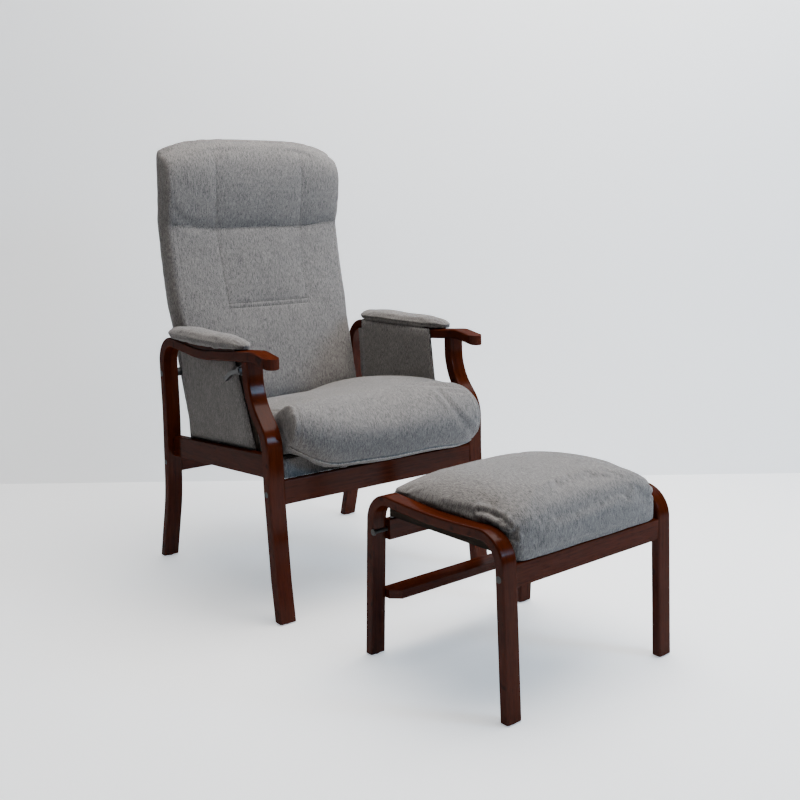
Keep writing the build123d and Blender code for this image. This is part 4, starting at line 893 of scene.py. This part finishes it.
swing_least = place_node(stitch_tree, "VectorMath", {0: swing_most, "Scale": -1.0}, operation="SCALE")
swing = place_node(stitch_tree, "FunctionNodeRandomValue",
    {0: swing_least, 1: swing_most, "Seed": given["Seed"]}, data_type="FLOAT_VECTOR")
swung = place_node(stitch_tree, "FunctionNodeRotateRotation", {"Rotation": along_row, "Rotate By": swing})
placed = place_node(stitch_tree, "GeometryNodeInstanceOnPoints",
    {"Points": spaced, "Instance": one_stitch, "Rotation": swung, "Scale": size_of_stitch})
made_real = place_node(stitch_tree, "GeometryNodeRealizeInstances", {"Geometry": placed})
dyed = place_node(stitch_tree, "GeometryNodeSetMaterial", {"Geometry": made_real, "Material": given["Thread"]})
place_node(stitch_tree, "NodeGroupOutput", {"Stitches": dyed})


def stitched(name, rows, pitch, length, seed):
    """A piece with the stitches of several rows."""
    points, edges = [], []
    for row in rows:
        start = len(points)
        points += [tuple(point) for point in row]
        edges += [(start + k, start + k + 1) for k in range(len(row) - 1)]
    mesh = bpy.data.meshes.new(name)
    mesh.from_pydata(points, edges, [])
    made = bpy.data.objects.new(name, mesh)
    scene.collection.objects.link(made)
    sewing = made.modifiers.new("sewing", "NODES")
    sewing.node_group = stitch_tree
    wanted = {"Pitch": pitch, "Length": length, "Seed": seed, "Thread": thread}
    for item in stitch_tree.interface.items_tree:
        if item.item_type == "SOCKET" and item.in_out == "INPUT" and item.name in wanted:
            sewing[item.identifier] = wanted[item.name]
    settle(made)
    return made


skin = skin_tree(back)
seam_paths = [(line, -0.0003) for name in ("head", "pocket") for line in front_seams[name]]
seam_paths += [(line, -0.0005) for line in front_seams["dart"]]
seam_parts = [tube("seam", snapped(skin, line, lift), 0.0007, sides=6) for line, lift in seam_paths]
seam_join = bmesh.new()
for part in seam_parts:
    seam_join.from_mesh(part.data)
    bpy.data.objects.remove(part)
seams = new_object("back_seams", [], [])
seam_join.to_mesh(seams.data)
seam_join.free()
seams.data.polygons.foreach_set("use_smooth", [True] * len(seams.data.polygons))
seams.data.materials.append(thread)
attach(seams, "backrest")
top_rows = [snapped(skin, on_front(skin, flat_dense([(x, z - 0.0045) for x, z in head_seam])), 0.0001)]
top_rows += [snapped(skin, on_front(skin, flat_dense(line)), 0.0001) for line in pocket_rows]
top_rows += [snapped(skin, on_front(skin, flat_dense([(x + (0.003 if x < 0 else -0.003), z) for x, z in line])),
    0.0001) for line in panel_seams]
stitches = stitched("back_stitches", top_rows, pitch=0.0046, length=0.0034, seed=4)
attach(stitches, "backrest")

cover_tree = skin_tree(nodes["back_rear_cover"])
cover_low, cover_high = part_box("back_rear_cover")
cover_columns, cover_rows, cover_thickness = 60, 72, 0.0016
end_inset, side_inset, sunk_in = 0.0015, 0.0008, 0.0013
cover_points = []
for row in range(cover_rows + 1):
    z = cover_low.z + end_inset + (cover_high.z - cover_low.z - 2 * end_inset) * row / cover_rows
    for column in range(cover_columns + 1):
        x = cover_low.x + side_inset + (cover_high.x - cover_low.x - 2 * side_inset) * column / cover_columns
        hit = cover_tree.ray_cast(Vector((0.5 * x, 2.0, z)), Vector((0, -1, 0)))[0]
        edge = min(column, cover_columns - column) / cover_columns
        pucker = 0.0004 * math.sin(z * 150 + 1.3 * (x > 0)) * max(0, 1 - edge * 9)
        sag = 0.0003 * math.sin(x * 21) * math.sin(z * 13)
        cover_points.append((x, hit.y - sunk_in + pucker + sag, z))
rear_cover = new_object("back_closing_cloth", cover_points, sheet_faces(cover_rows, cover_columns))
thick = rear_cover.modifiers.new("thick", "SOLIDIFY")
thick.thickness, thick.offset = cover_thickness, 0
settle(rear_cover)
rear_cover.data.materials.append(grey_cloth)
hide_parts("back_rear_cover")
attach(rear_cover, "backrest")


# Footstool.
# A domed foam pad on a board is covered with the same cloth, drawn down over the rails and stapled below.
# The cover is gathered in small pleats at the front corners, beside the bent side frames.
# Painted shade: the deck and battens under the stool carry the near-black board colour of parts in shadow.
finish(painted_shade_board, "stool_deck", "stool_battens")
stool = solid_copy("stool_pillow", "stool_cushion")
even_skin(stool, cell=0.005, rounds=0)
places, normals = points_of(stool)
deck_low, deck_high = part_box("stool_deck")
under = (normals[:, 2] < -0.3) | ((places[:, 2] < deck_high.z + 0.004) & (places[:, 1] > deck_low.y - 0.004)
    & (places[:, 1] < deck_high.y + 0.004))
freedom = np.where(under, 0.05, 1.0)
soften(stool, 4, freedom)
places, normals = points_of(stool)
set_points(stool, places - normals * 0.0006 * freedom[:, None])
sewn = [(int(index), 1.0) for index in np.where(under | (places[:, 2] < 0.318))[0]]
places, _ = points_of(stool)
x, y, z = places.T
over_frame = ramp(z, 0.364, 0.010) * ramp(-z, -0.412, 0.02)
hanging = ramp(z, 0.326, 0.014) * ramp(-z, -0.398, 0.03)
near_side = ramp(-x, 0.150, 0.05) * (1 + 0.3 * ramp(y, -0.380, 0.08))
far_side, rear_side = ramp(x, 0.150, 0.05), ramp(y, -0.330, 0.06)
rear_corner = ramp(-x, 0.120, 0.07) * ramp(y, -0.350, 0.08)
x += over_frame * (0.004 * far_side - 0.010 * near_side)
y += over_frame * 0.008 * rear_side + hanging * 0.018 * rear_corner
set_points(stool, places)
blow_up(stool, sewn, push=3.0, most=0.006)
corner_pleats = [
    ([(-0.2010, -0.566, 0.3870), (-0.1992, -0.5912, 0.3861), (-0.1983, -0.6058, 0.3850), (-0.1955, -0.6300, 0.3825)],
    0.0044, 0.0040),
    ([(-0.2040, -0.598, 0.3735), (-0.2010, -0.6180, 0.3750), (-0.1950, -0.6424, 0.3769)], 0.0040, 0.0036),
    ([(-0.2060, -0.620, 0.3660), (-0.2001, -0.6412, 0.3613), (-0.1943, -0.6560, 0.3570)], 0.0040, 0.0038),
    ([(-0.2040, -0.634, 0.3560), (-0.1985, -0.6490, 0.3520), (-0.1920, -0.6590, 0.3500)], 0.0036, 0.0028),
    ([(-0.1942, -0.6484, 0.3724), (-0.1919, -0.6553, 0.3688), (-0.1944, -0.6541, 0.3623)], 0.0038, 0.0026),
    ([(-0.2030, -0.560, 0.3800), (-0.2045, -0.5200, 0.3790), (-0.2050, -0.4700, 0.3780)], 0.0060, 0.0016),
    ([(0.1955, -0.600, 0.3850), (0.1945, -0.6250, 0.3820), (0.1920, -0.6420, 0.3780)], 0.0040, 0.0026),
    ([(0.2000, -0.622, 0.3660), (0.1960, -0.6420, 0.3620), (0.1900, -0.6540, 0.3580)], 0.0038, 0.0026),
    ]
skin = skin_tree(stool)
for line, width, depth in corner_pleats:
    press(stool, snapped(skin, dense(line, 0.004), 0), width, depth, swell_share=0.5)
hem_line = [(-0.186, -0.6665, 0.3135), (-0.06, -0.6630, 0.3135), (0.06, -0.6590, 0.3135), (0.196, -0.6535, 0.3135)]
press(stool, snapped(skin_tree(stool), dense(hem_line, 0.005), 0), width=0.0042, depth=0.0012, swell_share=0.0)
stool.data.materials.append(grey_cloth)
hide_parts("stool_cushion")
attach(stool, "footstool")
